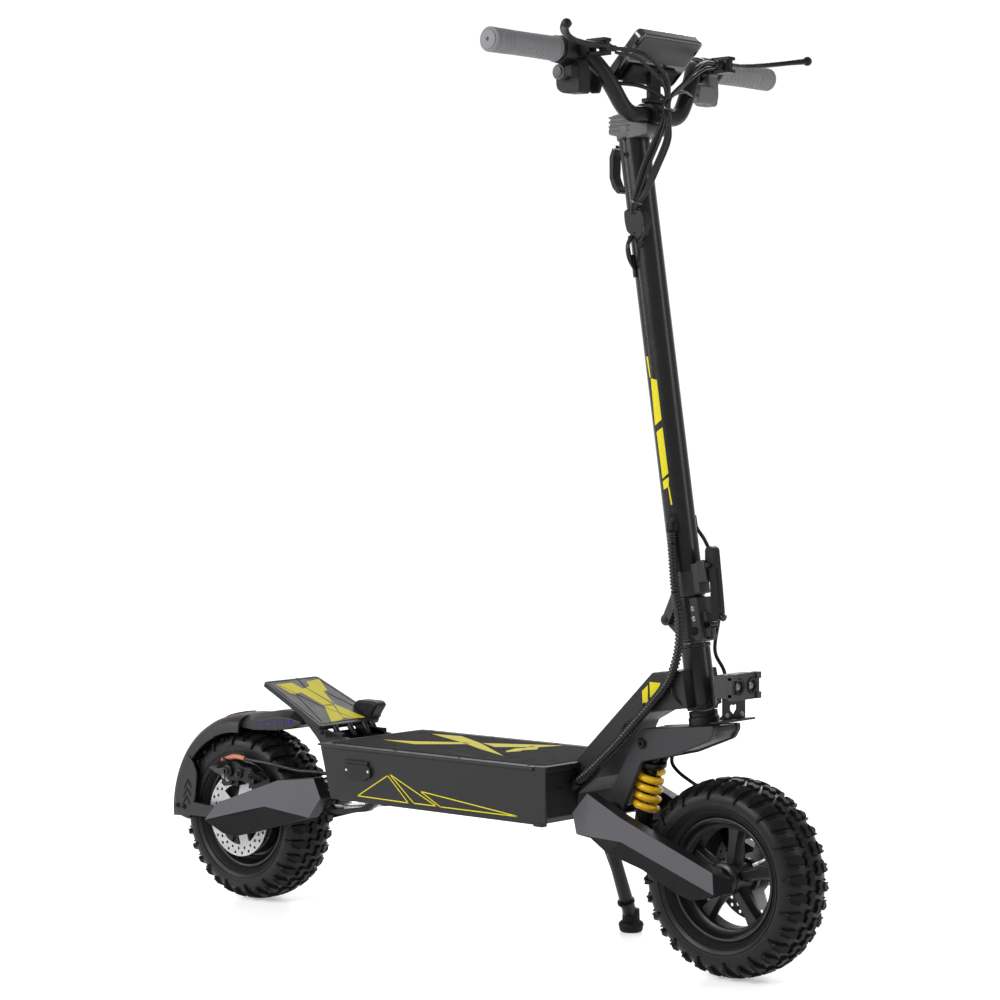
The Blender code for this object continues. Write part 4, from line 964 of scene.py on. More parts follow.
def make_fender():
    outer = [(0.1275, 0.05), (0.136, 0.0492), (0.143, 0.048), (0.149, 0.042), (0.1525, 0.033),
             (0.1542, 0.02), (0.155, 0.0)]
    inner = [(0.1275, 0.0478), (0.1355, 0.0468), (0.1415, 0.0456), (0.1468, 0.04), (0.15, 0.0315),
             (0.1516, 0.019), (0.1524, 0.0)]
    ring = (outer + [(r, -y) for r, y in reversed(outer[:-1])] + [(r, -y) for r, y in inner[:-1]]
            + list(reversed(inner)))
    shell = fender_band(ring, 88, 184)
    narrow = [(r, y * 0.84) for r, y in ring if r > 0.14]
    solids = [shell, fender_band(narrow, 70, 90, 16)]
    for side in (-1, 1):
        edge = [(0.1262, side * 0.047), (0.1262, side * 0.0512), (0.1285, side * 0.0516),
                (0.129, side * 0.0472)]
        solids.append(fender_band(edge, 112, 184, 48))
    piece("fender_shell", solids, "fender_plastic", "rear_arm", bevel=0.0005, hides=("rear_fender",))

    x = REAR_AXLE.x
    flap = rounded([(x - 0.1012, 0.2136), (x - 0.0875, 0.201), (x - 0.0805, 0.1861), (x - 0.085, 0.15),
                    (x - 0.093, 0.1238), (x - 0.1043, 0.1155), (x - 0.126, 0.1207), (x - 0.129, 0.1345),
                    (x - 0.13, 0.15), (x - 0.124, 0.175)], 0.004)
    stay = rounded([(x - 0.096, 0.1225), (x - 0.09, 0.143), (x - 0.026, 0.139), (x - 0.028, 0.123)], 0.003)
    panels = both_sides(plate(flap, -0.0528, -0.049), plate(stay, -0.0565, -0.05))
    piece("fender_flaps", panels, "fender_plastic", "rear_arm", bevel=0.0012)
    chevrons = []
    for i in range(3):
        z, cx = 0.177 - 0.0125 * i, x - 0.1 - 0.0018 * i
        mark = [(cx - 0.009, z - 0.013), (cx, z), (cx + 0.0075, z - 0.0105), (cx + 0.0075, z - 0.015),
                (cx, z - 0.0052), (cx - 0.009, z - 0.0175)]
        chevrons.append(plate(mark, -0.0534, -0.0527))
    piece("fender_chevrons", both_sides(*chevrons), "decal_dark", "rear_arm", bevel=0.0002)
    bolts = []
    for bx, bz in ((-0.1237, 0.1342), (-0.1095, 0.1332)):
        bolts += bolt_pair(x + bx, 0.0528, bz, 0.0034)
    piece("fender_bolts", bolts, "black_bolt", "rear_arm")

    sections = []
    for place, wide, low, side, top in ((-0.89, 0.04, 0.262, 0.27, 0.28),
                                    (-0.862, 0.0415, 0.26, 0.2735, 0.285),
                                    (-0.816, 0.0405, 0.2625, 0.283, 0.2925),
                                    (-0.79, 0.0385, 0.266, 0.283, 0.292),
                                    (-0.768, 0.035, 0.274, 0.278, 0.283)):
        half = [(wide, low), (wide, side), (wide * 0.62, top)]
        sections.append([Vector((place, y, z)) for y, z in half + [(-y, z) for y, z in reversed(half)]])
    piece("tail_light_hood", [loft(sections)], "fender_plastic", "rear_arm", bevel=0.0014, smooth=12,
          hides=("tail_light",))
    lens = fender_band([(0.1535, 0.02), (0.1562, 0.018), (0.1568, 0.0), (0.1562, -0.018),
                        (0.1535, -0.02)], 100, 111, 8)
    piece("tail_light_lens", [lens], "tail_lens", "rear_arm", bevel=0.0008)
    dots = []
    for i in range(5):
        spot = Vector((-0.846, -0.04, 0.2705)).lerp(Vector((-0.786, -0.0378, 0.2785)), i / 4)
        dots.append(rod(spot, spot + Vector((0, -0.0022, 0)), 0.0014, steps=16))
    piece("tail_light_dots", both_sides(*dots), "led_blue", "rear_arm")


def make_rear_shock():
    """The rear damper: eyes, shaft, body and its spring, between the lug and the arm's tie."""
    a, b = Vector((-0.7225, 0, 0.1985)), Vector((-0.666, 0, 0.207))
    along = (b - a).normalized()
    solids = [rod(a, b, 0.0045), rod(a + along * 0.004, a + along * 0.03, 0.0092),
              rod(a + along * 0.008, a + along * 0.011, 0.0118),
              rod(b - along * 0.01, b - along * 0.006, 0.0118)]
    piece("rear_damper", solids, "steel", "rear_arm", hides=("rear_shock",))
    piece("rear_damper_spring",
          [tube(coil_points(a + along * 0.013, b - along * 0.012, 0.0095, 3.6), 0.002, 10)],
          "black_metal", "rear_arm", smooth=60)
    link = [rod((-0.698, -0.037, 0.165), (-0.606, -0.037, 0.174), 0.0055),
            rod((-0.676, -0.037, 0.1672), (-0.626, -0.037, 0.172), 0.0078, soften=0.002)]
    piece("rear_link", link, "steel", "chassis")


def coil_points(start, end, radius, turns, per_turn=22):
    along = (end - start).normalized()
    side, other = frame_of(along, LEFT)
    count = round(turns * per_turn)
    points = []
    for i in range(count + 1):
        turn = 2 * pi * turns * i / count
        points.append(start.lerp(end, i / count) + side * (radius * cos(turn))
                      + other * (radius * sin(turn)))
    return points


# Neck, fork bracket and front suspension
NECK_MARKS = [[(-0.1226, 0.3667), (-0.1129, 0.375), (-0.1129, 0.3543), (-0.1213, 0.345)],
              [(-0.1101, 0.3795), (-0.0916, 0.3792), (-0.0935, 0.3751), (-0.1088, 0.3567)]]


def axis_lathe(profile, steps=64):
    """A closed profile of (radius, height z) turned about the steering axis."""
    low = on_axis(0)
    return lathe([(r, z / STEER_UP.z) for r, z in profile], low, STEER_UP, steps)


def ring_profile(inner, outer, low, high, soften=0.0006):
    return [(inner, low), (outer - soften, low), (outer, low + soften), (outer, high - soften),
            (outer - soften, high), (inner, high)]


def make_neck():
    repaint("neck", "frame_paint", 0.003)
    repaint("steerer", "steel", 0.0004)
    marks = [plate(m, -0.0379, -0.0374) for m in NECK_MARKS]
    piece("neck_marks", both_sides(*marks), "decal_yellow", "chassis")
    body = axis_lathe(ring_profile(0.015, 0.0192, 0.3465, 0.429))
    cups = [axis_lathe(ring_profile(0.015, 0.0203, low, low + 0.006, 0.001)) for low in (0.344, 0.4245)]
    piece("head_barrel", [body] + cups, "stem_paint", "chassis", bevel=0.0003, hides=("head_tube",))
    bolts = bolt_pair(-0.118, 0.0375, 0.348, 0.003) + bolt_pair(-0.225, 0.0375, 0.235, 0.0034)
    piece("neck_bolts", bolts, "black_bolt", "chassis")


FORK_CHEEK = [(-0.1355, 0.3155), (-0.072, 0.3215), (-0.0125, 0.3277), (-0.0115, 0.3196), (-0.019, 0.307),
              (-0.0794, 0.2835), (-0.131, 0.2716), (-0.16, 0.21), (-0.165, 0.193), (-0.185, 0.193),
              (-0.187, 0.22)]


def make_fork():
    cheek = rounded(FORK_CHEEK, 0.004)
    cheeks = both_sides(plate(cheek, -0.03, -0.0225))
    nose = [(-0.072, 0.32), (-0.015, 0.3262), (-0.0135, 0.319), (-0.022, 0.308), (-0.074, 0.288)]
    back = [(-0.133, 0.315), (-0.07, 0.3212), (-0.07, 0.316), (-0.13, 0.31)]
    rear_wall = [(-0.1345, 0.31), (-0.13, 0.31), (-0.178, 0.225), (-0.183, 0.225)]
    solids = cheeks + [plate(nose, -0.0235, 0.0235), plate(back, -0.0235, 0.0235),
                       plate(rear_wall, -0.0235, 0.0235)]
    piece("fork_cheeks", solids, "hinge_metal", "steering", bevel=0.0014, hides=("fork_bracket",))
    crown = [axis_lathe(ring_profile(0.01, 0.0205, 0.32, 0.3355, 0.0012)),
             axis_lathe(ring_profile(0.01, 0.019, 0.335, 0.3432, 0.0008))]
    piece("fork_crown", crown, "black_metal", "steering", bevel=0.0003)
    pin = FRONT_PIVOT
    shaft = [cross_bar(pin, 0.064, 0.006)]
    shaft += both_sides(rod(pin + Vector((0, -0.0566, 0)), pin + Vector((0, -0.029, 0)), 0.0115))
    piece("front_arm_shaft", shaft, "black_metal", "steering")
    piece("fork_bolts", bolt_pair(-0.1285, 0.03, 0.2965, 0.0056), "black_bolt", "steering")


SHOCK_TOP = Vector((-0.1305, 0, 0.293))
SHOCK_DOWN = (Vector((-0.1485, 0, 0.202)) - SHOCK_TOP).normalized()


def make_front_shock():
    top, down = SHOCK_TOP, SHOCK_DOWN
    eye = cross_bar(top, 0.0215, 0.0085)
    body = rod(top + down * 0.002, top + down * 0.068, 0.009)
    piece("front_damper_body", [eye, body], "black_metal", "steering", hides=("front_shock_body",))
    seat = lathe([(0.006, 0.023), (0.0185, 0.023), (0.0195, 0.024), (0.0195, 0.0285), (0.018, 0.03),
                  (0.015, 0.033), (0.006, 0.033)], top, down, 48)
    nuts = []
    side, other = frame_of(down)
    for i in range(4):
        turn = radians(45 + 90 * i)
        spot = top + down * 0.023 + side * (0.0135 * cos(turn)) + other * (0.0135 * sin(turn))
        nuts.append(rod(spot - down * 0.004, spot + down * 0.001, 0.0026, steps=6))
    piece("front_spring_seat", [seat] + nuts, "black_metal", "steering", bevel=0.0003)
    coil = tube(coil_points(top + down * 0.035, top + down * 0.09, 0.015, 4.3, 26), 0.0049, 18)
    spring = piece("front_coil", [coil], "spring_paint", None, smooth=60, hides=("front_spring",))
    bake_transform(spring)
    foot = top + down * 0.09
    lower = lathe([(0.004, -0.0045), (0.015, -0.0045), (0.016, -0.0035), (0.016, 0.001), (0.0145, 0.002),
                   (0.004, 0.002)], foot, down, 48)
    strut = rod(top + down * 0.056, foot + down * 0.004, 0.005)
    tie = [box((-0.166, -0.06, 0.1735), (-0.14, 0.06, 0.1835)),
           rod(foot, Vector((-0.153, 0, 0.18)), 0.012)]
    piece("front_tie", [lower] + tie, "black_metal", "front_arm", bevel=0.0012, hides=("front_arm_tie",))
    shaft = piece("front_strut", [strut], "disc_steel", None)
    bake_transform(shaft)


# Headlight
def make_headlight():
    arm = [(-0.0215, 0.329), (0.016, 0.3345), (0.016, 0.3372), (0.004, 0.3362), (-0.0215, 0.3314)]
    solids = [plate(arm, -0.024, 0.024)]
    heart = [(-0.001, 0.341), (0.006, 0.348), (0.006, 0.353), (0.003, 0.355), (-0.001, 0.353),
             (-0.005, 0.355), (-0.009, 0.353), (-0.009, 0.348)]
    face = rounded([(-0.024, 0.3345), (-0.024, 0.364), (0.024, 0.364), (0.024, 0.3345)], 0.002)
    solids.append(slab(face, (-0.0025, 0, 0), LEFT, UP, 0.0025, holes=(heart,)))
    piece("headlight_bracket_plate", solids, "black_metal", "steering", bevel=0.0006,
          hides=("headlight_bracket",))
    screws = []
    for y in (-0.016, 0.016):
        screws += bolt((0.0, y, 0.3405), AHEAD, 0.0026)
        screws += bolt((-0.01, y, 0.332), UP, 0.0028)
    piece("headlight_bracket_screws", screws, "bolt_steel", "steering")
    shell = [(-0.012, 0.366), (-0.006, 0.3635), (0.012, 0.3635), (0.012, 0.3945), (-0.006, 0.3945),
             (-0.012, 0.3915)]
    case = plate(shell, -0.0285, 0.0285)
    fins = [box((-0.0145, y - 0.001, 0.3665), (-0.01, y + 0.001, 0.3915)) for y in
            [-0.024 + 0.006 * i for i in range(9)]]
    piece("headlight_case_body", [case] + fins, "panel_grey", "steering", bevel=0.0016,
          hides=("headlight_case",))
    rim = rounded([(-0.03, 0.364), (-0.0265, 0.3615), (0.0265, 0.3615), (0.03, 0.364), (0.03, 0.3935),
                   (0.0265, 0.396), (-0.0265, 0.396), (-0.03, 0.3935)], 0.002)
    eyes = [circle(y, 0.379, 0.0108, 40) for y in (-0.014, 0.014)]
    front = slab(rim, (0.0115, 0, 0), LEFT, UP, 0.0065, holes=eyes)
    corners = []
    for y in (-0.0255, 0.0255):
        for z in (0.366, 0.392):
            corners.append(box((0.0115, y - 0.0045, z - 0.0042), (0.0212, y + 0.0045, z + 0.0042)))
    piece("headlight_face", [front] + corners, "panel_grey", "steering", bevel=0.001)
    rings, bowls, glass = [], [], []
    for y in (-0.014, 0.014):
        spot = Vector((0.01, y, 0.379))
        rings.append(lathe([(0.0058, 0.002), (0.0108, 0.002), (0.011, 0.0092), (0.0102, 0.01),
                            (0.0078, 0.0092), (0.0062, 0.007)], spot, AHEAD, 48))
        bowls.append(lathe([(0, 0), (0.004, 0.0004), (0.006, 0.003), (0.006, 0.001), (0.004, -0.0012),
                            (0, -0.0012)], spot, AHEAD, 48))
        glass.append(lathe([(0, 0.0078), (0.003, 0.0074), (0.005, 0.0066), (0.0061, 0.0056),
                            (0.0061, 0.0046), (0, 0.0046)], spot, AHEAD, 48))
    piece("headlight_rings", rings, "plastic", "steering", bevel=0.0003)
    piece("headlight_bowls", bowls, "cast_alloy", "steering", smooth=60)
    piece("headlight_glass", glass, "lens_glass", "steering", smooth=60, hides=("headlight_lens",))


# Folding joint
def axis_frame(z):
    """A matrix whose axes are forward, left and up along the steering axis, at height z."""
    turn = Matrix((STEER_FORWARD, LEFT, STEER_UP)).transposed().to_4x4()
    return Matrix.Translation(on_axis(z)) @ turn


def make_fold_base():
    column = axis_lathe([(0.01, 0.4345), (0.0195, 0.4345), (0.0205, 0.4355), (0.0205, 0.4893),
                         (0.0196, 0.4903), (0.01, 0.4903)])
    collar = axis_lathe(ring_profile(0.012, 0.0214, 0.431, 0.4362, 0.001))
    piece("fold_column", [column, collar], "stem_paint", "steering", bevel=0.0004, hides=("fold_base",))
    at = axis_frame(0.463)
    casting = rounded([(0.0, -0.032), (0.0245, -0.032), (0.0245, 0.026), (0.0, 0.026)], 0.004)
    boss = [moved(plate(casting, -0.0165, 0.0165), at),
            moved(box((0.01, -0.0085, -0.027), (0.03, 0.0085, 0.006)), at)]
    piece("fold_boss", boss, "hinge_metal", "steering", bevel=0.0016)
    hooks = [moved(rod((0.033, -0.0085, -0.011), (0.033, 0.0085, -0.011), 0.0032), at),
             moved(box((0.0255, -0.0085, -0.016), (0.0345, -0.0052, -0.007)), at),
             moved(box((0.0255, 0.0052, -0.016), (0.0345, 0.0085, -0.007)), at),
             moved(rod((0.027, 0, -0.03), (0.027, 0, -0.013), 0.004), at)]
    piece("fold_catch_bar", hooks, "black_metal", "steering", bevel=0.0005)
    knuckle = arc(FOLD_PIVOT.x, FOLD_PIVOT.z, 0.008, 100, 230, 10) + [(-0.086, 0.438), (-0.078, 0.438),
                                                                       (-0.078, 0.472), (-0.086, 0.472)]
    knuckle = [plate(knuckle, -0.0072, 0.0072)]
    piece("fold_knuckle", knuckle, "hinge_metal", "steering", bevel=0.0006)
    piece("fold_pin", [cross_bar(FOLD_PIVOT, 0.018, 0.004)],
          "black_metal", "steering")
    screws = []
    for z in (0.0115, -0.0015):
        for side in (-1, 1):
            screws += bolt(at @ Vector((0.016, side * 0.0165, z)), (0, side, 0), 0.0022)
    piece("fold_screws", screws, "bolt_steel", "steering")
    socket = [(0, 0.0002), (0.0036, 0.0002), (0.0042, 0.0012), (0.0056, 0.0006), (0.0056, -0.001),
              (0, -0.001)]
    sockets = [lathe(socket, at @ Vector((0.015, side * 0.0165, -0.0175)), (0, side, 0), 32)
               for side in (-1, 1)]
    piece("fold_sockets", sockets, "belly_paint", "steering", bevel=0.0002)


def stem_patch(corners, lift, depth=0.0006):
    """A four-cornered patch wrapped on the stem; corners are (height, degrees) in order."""
    a, b, c, d = [Vector(corner) for corner in corners]
    columns, rows = 14, 10
    points, faces = [], []
    for radius in (STEM_R + lift, STEM_R + lift - depth):
        for i in range(rows + 1):
            for j in range(columns + 1):
                u, v = j / columns, i / rows
                spot = (a * (1 - u) + b * u) * (1 - v) + (d * (1 - u) + c * u) * v
                points.append(on_stem(spot.x, spot.y, radius))
    wide = columns + 1
    under = (rows + 1) * wide
    for i in range(rows):
        for j in range(columns):
            quad = (i * wide + j, i * wide + j + 1, (i + 1) * wide + j + 1, (i + 1) * wide + j)
            faces += [quad, tuple(under + k for k in reversed(quad))]
    rim = [j for j in range(wide)] + [i * wide + columns for i in range(1, rows + 1)]
    rim += [rows * wide + j for j in reversed(range(columns))] + [i * wide
                                                                  for i in reversed(range(1, rows))]
    for k, first in enumerate(rim):
        second = rim[(k + 1) % len(rim)]
        faces.append((first, under + first, under + second, second))
    return points, faces


STEM_MARKS = [[(0.8055, 115), (0.8054, 104), (0.7778, 102.5), (0.7778, 109)],
              [(0.7769, 103), (0.7748, 76), (0.7225, 76), (0.7147, 111)],
              [(0.7063, 107), (0.7125, 76), (0.6526, 75), (0.6449, 105)],
              [(0.6416, 105), (0.6476, 75), (0.6351, 80), (0.6308, 105)],
              [(0.6351, 78), (0.6342, 83), (0.6113, 80), (0.6118, 74)]]


def make_stem():
    post = axis_lathe([(0.018, 0.4935), (0.0197, 0.4935), (0.0205, 0.4943), (0.0205, 1.109), (0.0195, 1.11),
                       (0.018, 1.11)], 96)
    piece("stem_post", [post], "stem_paint", "stem", smooth=20, hides=("stem_tube",))
    foot = axis_lathe([(0.019, 0.4908), (0.0203, 0.4908), (0.0212, 0.4918), (0.0212, 0.522),
                       (0.0205, 0.5235), (0.019, 0.5235)], 96)
    at = axis_frame(0.4925)
    block = moved(box((0.005, -0.0118, 0.0), (0.0272, 0.0118, 0.04)), at)
    cheeks = both_sides(moved(box((0.025, -0.0118, 0.014), (0.04, -0.0074, 0.043)), at))
    piece("stem_foot", [foot], "hinge_metal", "stem", bevel=0.0004)
    piece("stem_face_block", [block] + cheeks, "panel_grey", "stem", bevel=0.0018)
    ear = arc(FOLD_PIVOT.x, FOLD_PIVOT.z, 0.0076, 115, 300, 10)
    ear = rounded(ear + [(FOLD_PIVOT.x + 0.01, FOLD_PIVOT.z + 0.005),
                         (FOLD_PIVOT.x + 0.022, FOLD_PIVOT.z + 0.0335),
                         (FOLD_PIVOT.x + 0.015, FOLD_PIVOT.z + 0.05),
                         (FOLD_PIVOT.x + 0.008, FOLD_PIVOT.z + 0.03)], 0.0012)
    piece("stem_ears", both_sides(plate(ear, -0.0165, -0.0077)), "hinge_metal", "stem", bevel=0.001)
    marks = []
    for mark in STEM_MARKS:
        marks.append(stem_patch(mark, 0.0002))
        marks.append(stem_patch([(z, -degrees) for z, degrees in mark], 0.0002))
    marks.append(stem_patch([(1.106, 62), (1.106, 74), (1.101, 74), (1.101, 62)], 0.0002))
    piece("stem_marks", marks, "decal_yellow", "stem", smooth=40)
    lower = [stem_patch([(0.6, 66), (0.6, 90), (0.574, 100), (0.574, 58)], 0.0026, 0.004),
             stem_patch([(0.597, -72), (0.597, -52), (0.576, -48), (0.576, -76)], 0.0022, 0.004)]
    upper = [stem_patch([(0.94, 112), (0.94, 130), (0.91, 136), (0.91, 108)], 0.0026, 0.004)]
    piece("stem_grommets", lower + upper, "rubber", "stem", bevel=0.0012)
    drop = rounded([(-0.1615, 0.9995), (-0.1314, 0.9996), (-0.1229, 0.9841), (-0.1284, 0.9627),
                    (-0.1369, 0.9581), (-0.1563, 0.969), (-0.1605, 0.9843)], 0.006)
    cover = [plate(drop, -0.0262, -0.012)]
    piece("cable_port_cover", cover, "plastic", "stem", bevel=0.003, hides=("cable_cover",))
    loops = []
    for i, bow in enumerate((0.0, 0.006, 0.01)):
        loops.append(tube(smooth_route([on_stem(0.965, 118 - 12 * i, STEM_R + 0.003),
                                        on_stem(0.952, 122 - 14 * i, STEM_R + 0.005 + bow),
                                        on_stem(0.935, 122 - 10 * i, STEM_R + 0.004 + bow),
                                        on_stem(0.918, 119 - 2 * i, STEM_R + 0.001)], 0.004), 0.0017, 12))
    loops.append(tube(smooth_route([on_stem(1.0, 60, STEM_R + 0.004), on_stem(0.985, 52, STEM_R + 0.008),
                                    on_stem(0.965, 58, STEM_R + 0.01), on_stem(0.95, 80, STEM_R + 0.004)],
                                   0.004), 0.0015, 12))
    piece("stem_cable_loops", loops, "cable_rubber", "stem", smooth=60)
    screws = []
    for z in (0.993, 0.968):
        screws += bolt((-0.1425, -0.0262, z), RIGHT, 0.0018, 0.0008, washer=False)
    for x, z in ((-0.1632, 1.0947), (-0.1602, 1.072)):
        screws += bolt((x, -0.0195, z), RIGHT, 0.0038)
    piece("stem_screws", screws, "black_bolt", "stem")


def make_latch():
    outline = [(-0.0425, 0.5545), (-0.0385, 0.5584), (-0.0335, 0.5584), (-0.0285, 0.5545),
               (-0.0262, 0.5331), (-0.0232, 0.5068), (-0.0195, 0.47), (-0.021, 0.4625), (-0.0308, 0.4617),
               (-0.033, 0.4765), (-0.0342, 0.5062), (-0.0375, 0.531), (-0.0425, 0.54)]
    blade = plate(rounded(outline, 0.0025), -0.0068, 0.0068)
    rib = plate([(-0.0265, 0.53), (-0.0205, 0.476), (-0.0193, 0.476), (-0.0245, 0.53)], -0.003, 0.003)
    piece("latch_blade", [blade, rib], "black_metal", "latch_lever", bevel=0.0014, hides=("latch_lever",))
    nut = [rod((-0.0255, 0, 0.469), (-0.0155, 0, 0.465), 0.0052, 0.0046, steps=24),
           cross_bar(LATCH_PIN, 0.0125, 0.0032)]
    piece("latch_knob", nut, "black_metal", "latch_lever", bevel=0.0004)


def make_fold_hook():
    offsets = [(-0.004, 0.0035), (-0.011, -0.012), (-0.011, -0.04), (-0.006, -0.053), (0.003, -0.062),
               (0.008, -0.059), (0.001, -0.05), (-0.004, -0.038), (-0.003, -0.01), (0.002, 0.003)]
    outline = rounded([(HOOK_PIN.x + x, HOOK_PIN.z + z) for x, z in offsets], 0.0025)
    piece("hook_blade", [plate(outline, -0.008, 0.008)], "black_metal", "fold_hook", bevel=0.0014,
          hides=("fold_hook",))
    piece("hook_pin", [cross_bar(HOOK_PIN, 0.011, 0.0028)],
          "bolt_steel", "fold_hook")


# Handlebar and controls
BAR_PATH = [(-0.132, 0, 1.122), (-0.132, 0.025, 1.122), (-0.132, 0.047, 1.123), (-0.133, 0.062, 1.132),
            (-0.1365, 0.08, 1.156), (-0.143, 0.098, 1.18), (-0.151, 0.111, 1.193),
            (-0.1585, 0.122, 1.197), (-0.1585, 0.132, 1.197), (-0.1585, 0.16, 1.197),
            (-0.1585, 0.285, 1.197)]


def make_bar():
    half = smooth_route(BAR_PATH, 0.004)
    route = [Vector((p.x, -p.y, p.z)) for p in reversed(half[1:])] + half
    piece("bar_tube", [tube(route, BAR_R, 32)], "black_metal", "stem", smooth=50, hides=("handlebar",))
    outline = rounded([(-0.19, 1.1), (-0.16, 1.093), (-0.138, 1.095), (-0.126, 1.097),
                       (-0.123, 1.101), (-0.124, 1.112), (-0.144, 1.115), (-0.156, 1.129),
                       (-0.186, 1.124)], 0.004)
    body = plate(outline, -0.0215, 0.0215)
    fins = []
    for i in range(4):
        z = 1.104 + 0.006 * i
        fins.append(box((-0.189, -0.0225, z - 0.0012), (-0.154, 0.0225, z + 0.0012)))
    skirt = axis_lathe(ring_profile(0.0195, 0.0228, 1.094, 1.112, 0.0012))
    piece("clamp_casting", [body, skirt] + fins, "cast_alloy", "stem", bevel=0.0014,
          hides=("handlebar_clamp",))
    cap = rounded([(-0.154, 1.11), (-0.113, 1.11), (-0.112, 1.13), (-0.122, 1.138), (-0.144, 1.138),
                   (-0.156, 1.129)], 0.004)
    piece("bar_cap", [plate(cap, -0.015, 0.015)], "black_metal", "stem", bevel=0.0016)
    bolts = []
    for y in (-0.0095, 0.0095):
        bolts += bolt((-0.112, y, 1.125), (1, 0, 0.1), 0.003) + bolt((-0.112, y, 1.115), (1, 0, 0.1), 0.003)
    piece("clamp_bolts", bolts, "black_bolt", "stem")
    stalk = [box((-0.134, -0.011, 1.136), (-0.126, 0.011, 1.1795)),
             box((-0.136, -0.019, 1.138), (-0.124, 0.019, 1.144))]
    piece("display_stalk", stalk, "black_metal", "stem", bevel=0.0014)


def groove(across, along):
    """How deep the grip is cut, 0 to 1, at a place around it and along it in metres."""
    sector = (across / 0.0331) % 1
    bow = 0.0022 * cos(2 * pi * sector)
    row = (along - 0.014 + bow) / 0.0086
    ring = max(0.0,
               1 - abs((row % 1) - 0.5) * 8.0) if 0.018 < along < 0.088 and 0.14 < sector < 0.86 else 0.0
    zigzag = abs(((across / 0.0166) % 1) - 0.5) * 0.012
    bend = sum(max(0.0, 1 - abs(along - start - zigzag) / 0.0009) for start in (0.095, 0.102, 0.109))
    edge = max(0.0, 1 - abs(along - 0.007) / 0.001) + max(0.0, 1 - abs(along - 0.123) / 0.001)
    return min(1.0, ring + bend + edge)


def make_grip(side, name, node):
    steps, rings = 96, 170
    inner, length = BAR_HALF - GRIP_LENGTH, GRIP_LENGTH
    axis = Vector((BAR_X, 0, BAR_Z))
    sections = []
    for i in range(rings + 1):
        along = length * i / rings
        taper = 0.0156 + 0.0002 * cos(2 * pi * along / length) + (0.0008 if along < 0.006 else 0)
        rim = min(along, length - along)
        if rim < 0.0016:
            taper -= 0.0012 * (1 - rim / 0.0016) ** 2
        section = []
        for j in range(steps):
            turn = 2 * pi * j / steps
            radius = taper - 0.0012 * groove(turn * 0.0158, along)
            section.append(axis + Vector((radius * cos(turn), side * (inner + along), radius * sin(turn))))
        sections.append(section)
    piece("grip_sleeve_" + name, [loft(sections)], "grip_rubber", "stem", smooth=60, hides=(node,))
    end = axis + Vector((0, side * BAR_HALF, 0))
    cap = lathe([(0.0022, -0.004), (0.0118, -0.004), (0.0126, 0.0006), (0.0116, 0.0018), (0.003, 0.0024),
                 (0.0022, 0.0016)], end, (0, side, 0), 48)
    collar_at = axis + Vector((0, side * inner, 0))
    piece("grip_cap_" + name, [cap], "grip_rubber", "stem", bevel=0.0003)
    collar = lathe(ring_profile(0.01, 0.0172, -0.001, 0.005, 0.0012), collar_at, (0, side, 0), 48)
    piece("grip_collar_" + name, [collar], "black_metal", "stem")


LEVER_ROUTE = [(-0.1055, 0.13, 1.1985), (-0.1085, 0.15, 1.199), (-0.1105, 0.172, 1.2005),
               (-0.106, 0.197, 1.203), (-0.095, 0.22, 1.206), (-0.08, 0.24, 1.209),
               (-0.064, 0.255, 1.211)]


def make_brake_lever(side, name):
    def put(points):
        return [Vector((p.x, p.y * side, p.z)) for p in points]

    route = put(smooth_route(LEVER_ROUTE, 0.004))
    radii = []
    for i in range(len(route)):
        t = i / (len(route) - 1)
        radii.append(0.0044 - 0.001 * min(1.0, t * 2.2) + 0.0008 * max(0.0, t - 0.8) * 5)
    blade = tube(route, radii, 24, flat=1.65)
    tip = route[-1]
    ball = lathe([(0.0064 * sin(pi * i / 12), -0.0064 * cos(pi * i / 12)) for i in range(13)], tip, LEFT,
                 24)
    pivot = Vector((LEVER_PIVOT.x, LEVER_PIVOT.y * side, LEVER_PIVOT.z))
    heel = rod(pivot + Vector((0, 0, -0.0062)), pivot + Vector((0, 0, 0.0062)), 0.007)
    piece("lever_blade_" + name, [blade, ball, heel], "black_metal", "brake_lever_" + name, smooth=50,
          hides=("brake_lever_" + name,))
    bore = rod(pivot + Vector((0, 0, -0.0095)), pivot + Vector((0, 0, 0.0095)), 0.003)
    piece("lever_pin_" + name, [bore], "bolt_steel", "brake_lever_" + name)

    ring = lathe(ring_profile(BAR_R, 0.016, 0.125, 0.138, 0.0012), Vector((BAR_X, 0, BAR_Z)),
                 (0, side, 0), 48)
    low, high = sorted((0.124 * side, 0.139 * side))
    web = [box((BAR_X + 0.01, low, 1.189), (BAR_X + 0.034, high, 1.208))]
    lips = [box((-0.13, low, z - 0.0022), (-0.1, high, z + 0.0022)) for z in (1.19, 1.207)]
    barrel_from = Vector((-0.113, 0.124 * side, 1.1985))
    barrel = [rod(barrel_from, barrel_from + Vector((0.002, -0.01 * side, 0)), 0.0062, steps=24),
              rod(barrel_from + Vector((0.002, -0.01 * side, 0)),
                  barrel_from + Vector((0.004, -0.019 * side, 0)), 0.0042, steps=24)]
    piece("lever_clamp_" + name, [ring] + web + lips + barrel, "black_metal", "stem", bevel=0.001,
          hides=("brake_clamp_" + name,))
    screw_at = Vector((BAR_X + 0.004, 0.1315 * side, BAR_Z - 0.016))
    piece("lever_clamp_screw_" + name, bolt(screw_at, (0, 0, -1), 0.003), "black_bolt", "stem")
    return barrel_from + Vector((0.004, -0.019 * side, 0))


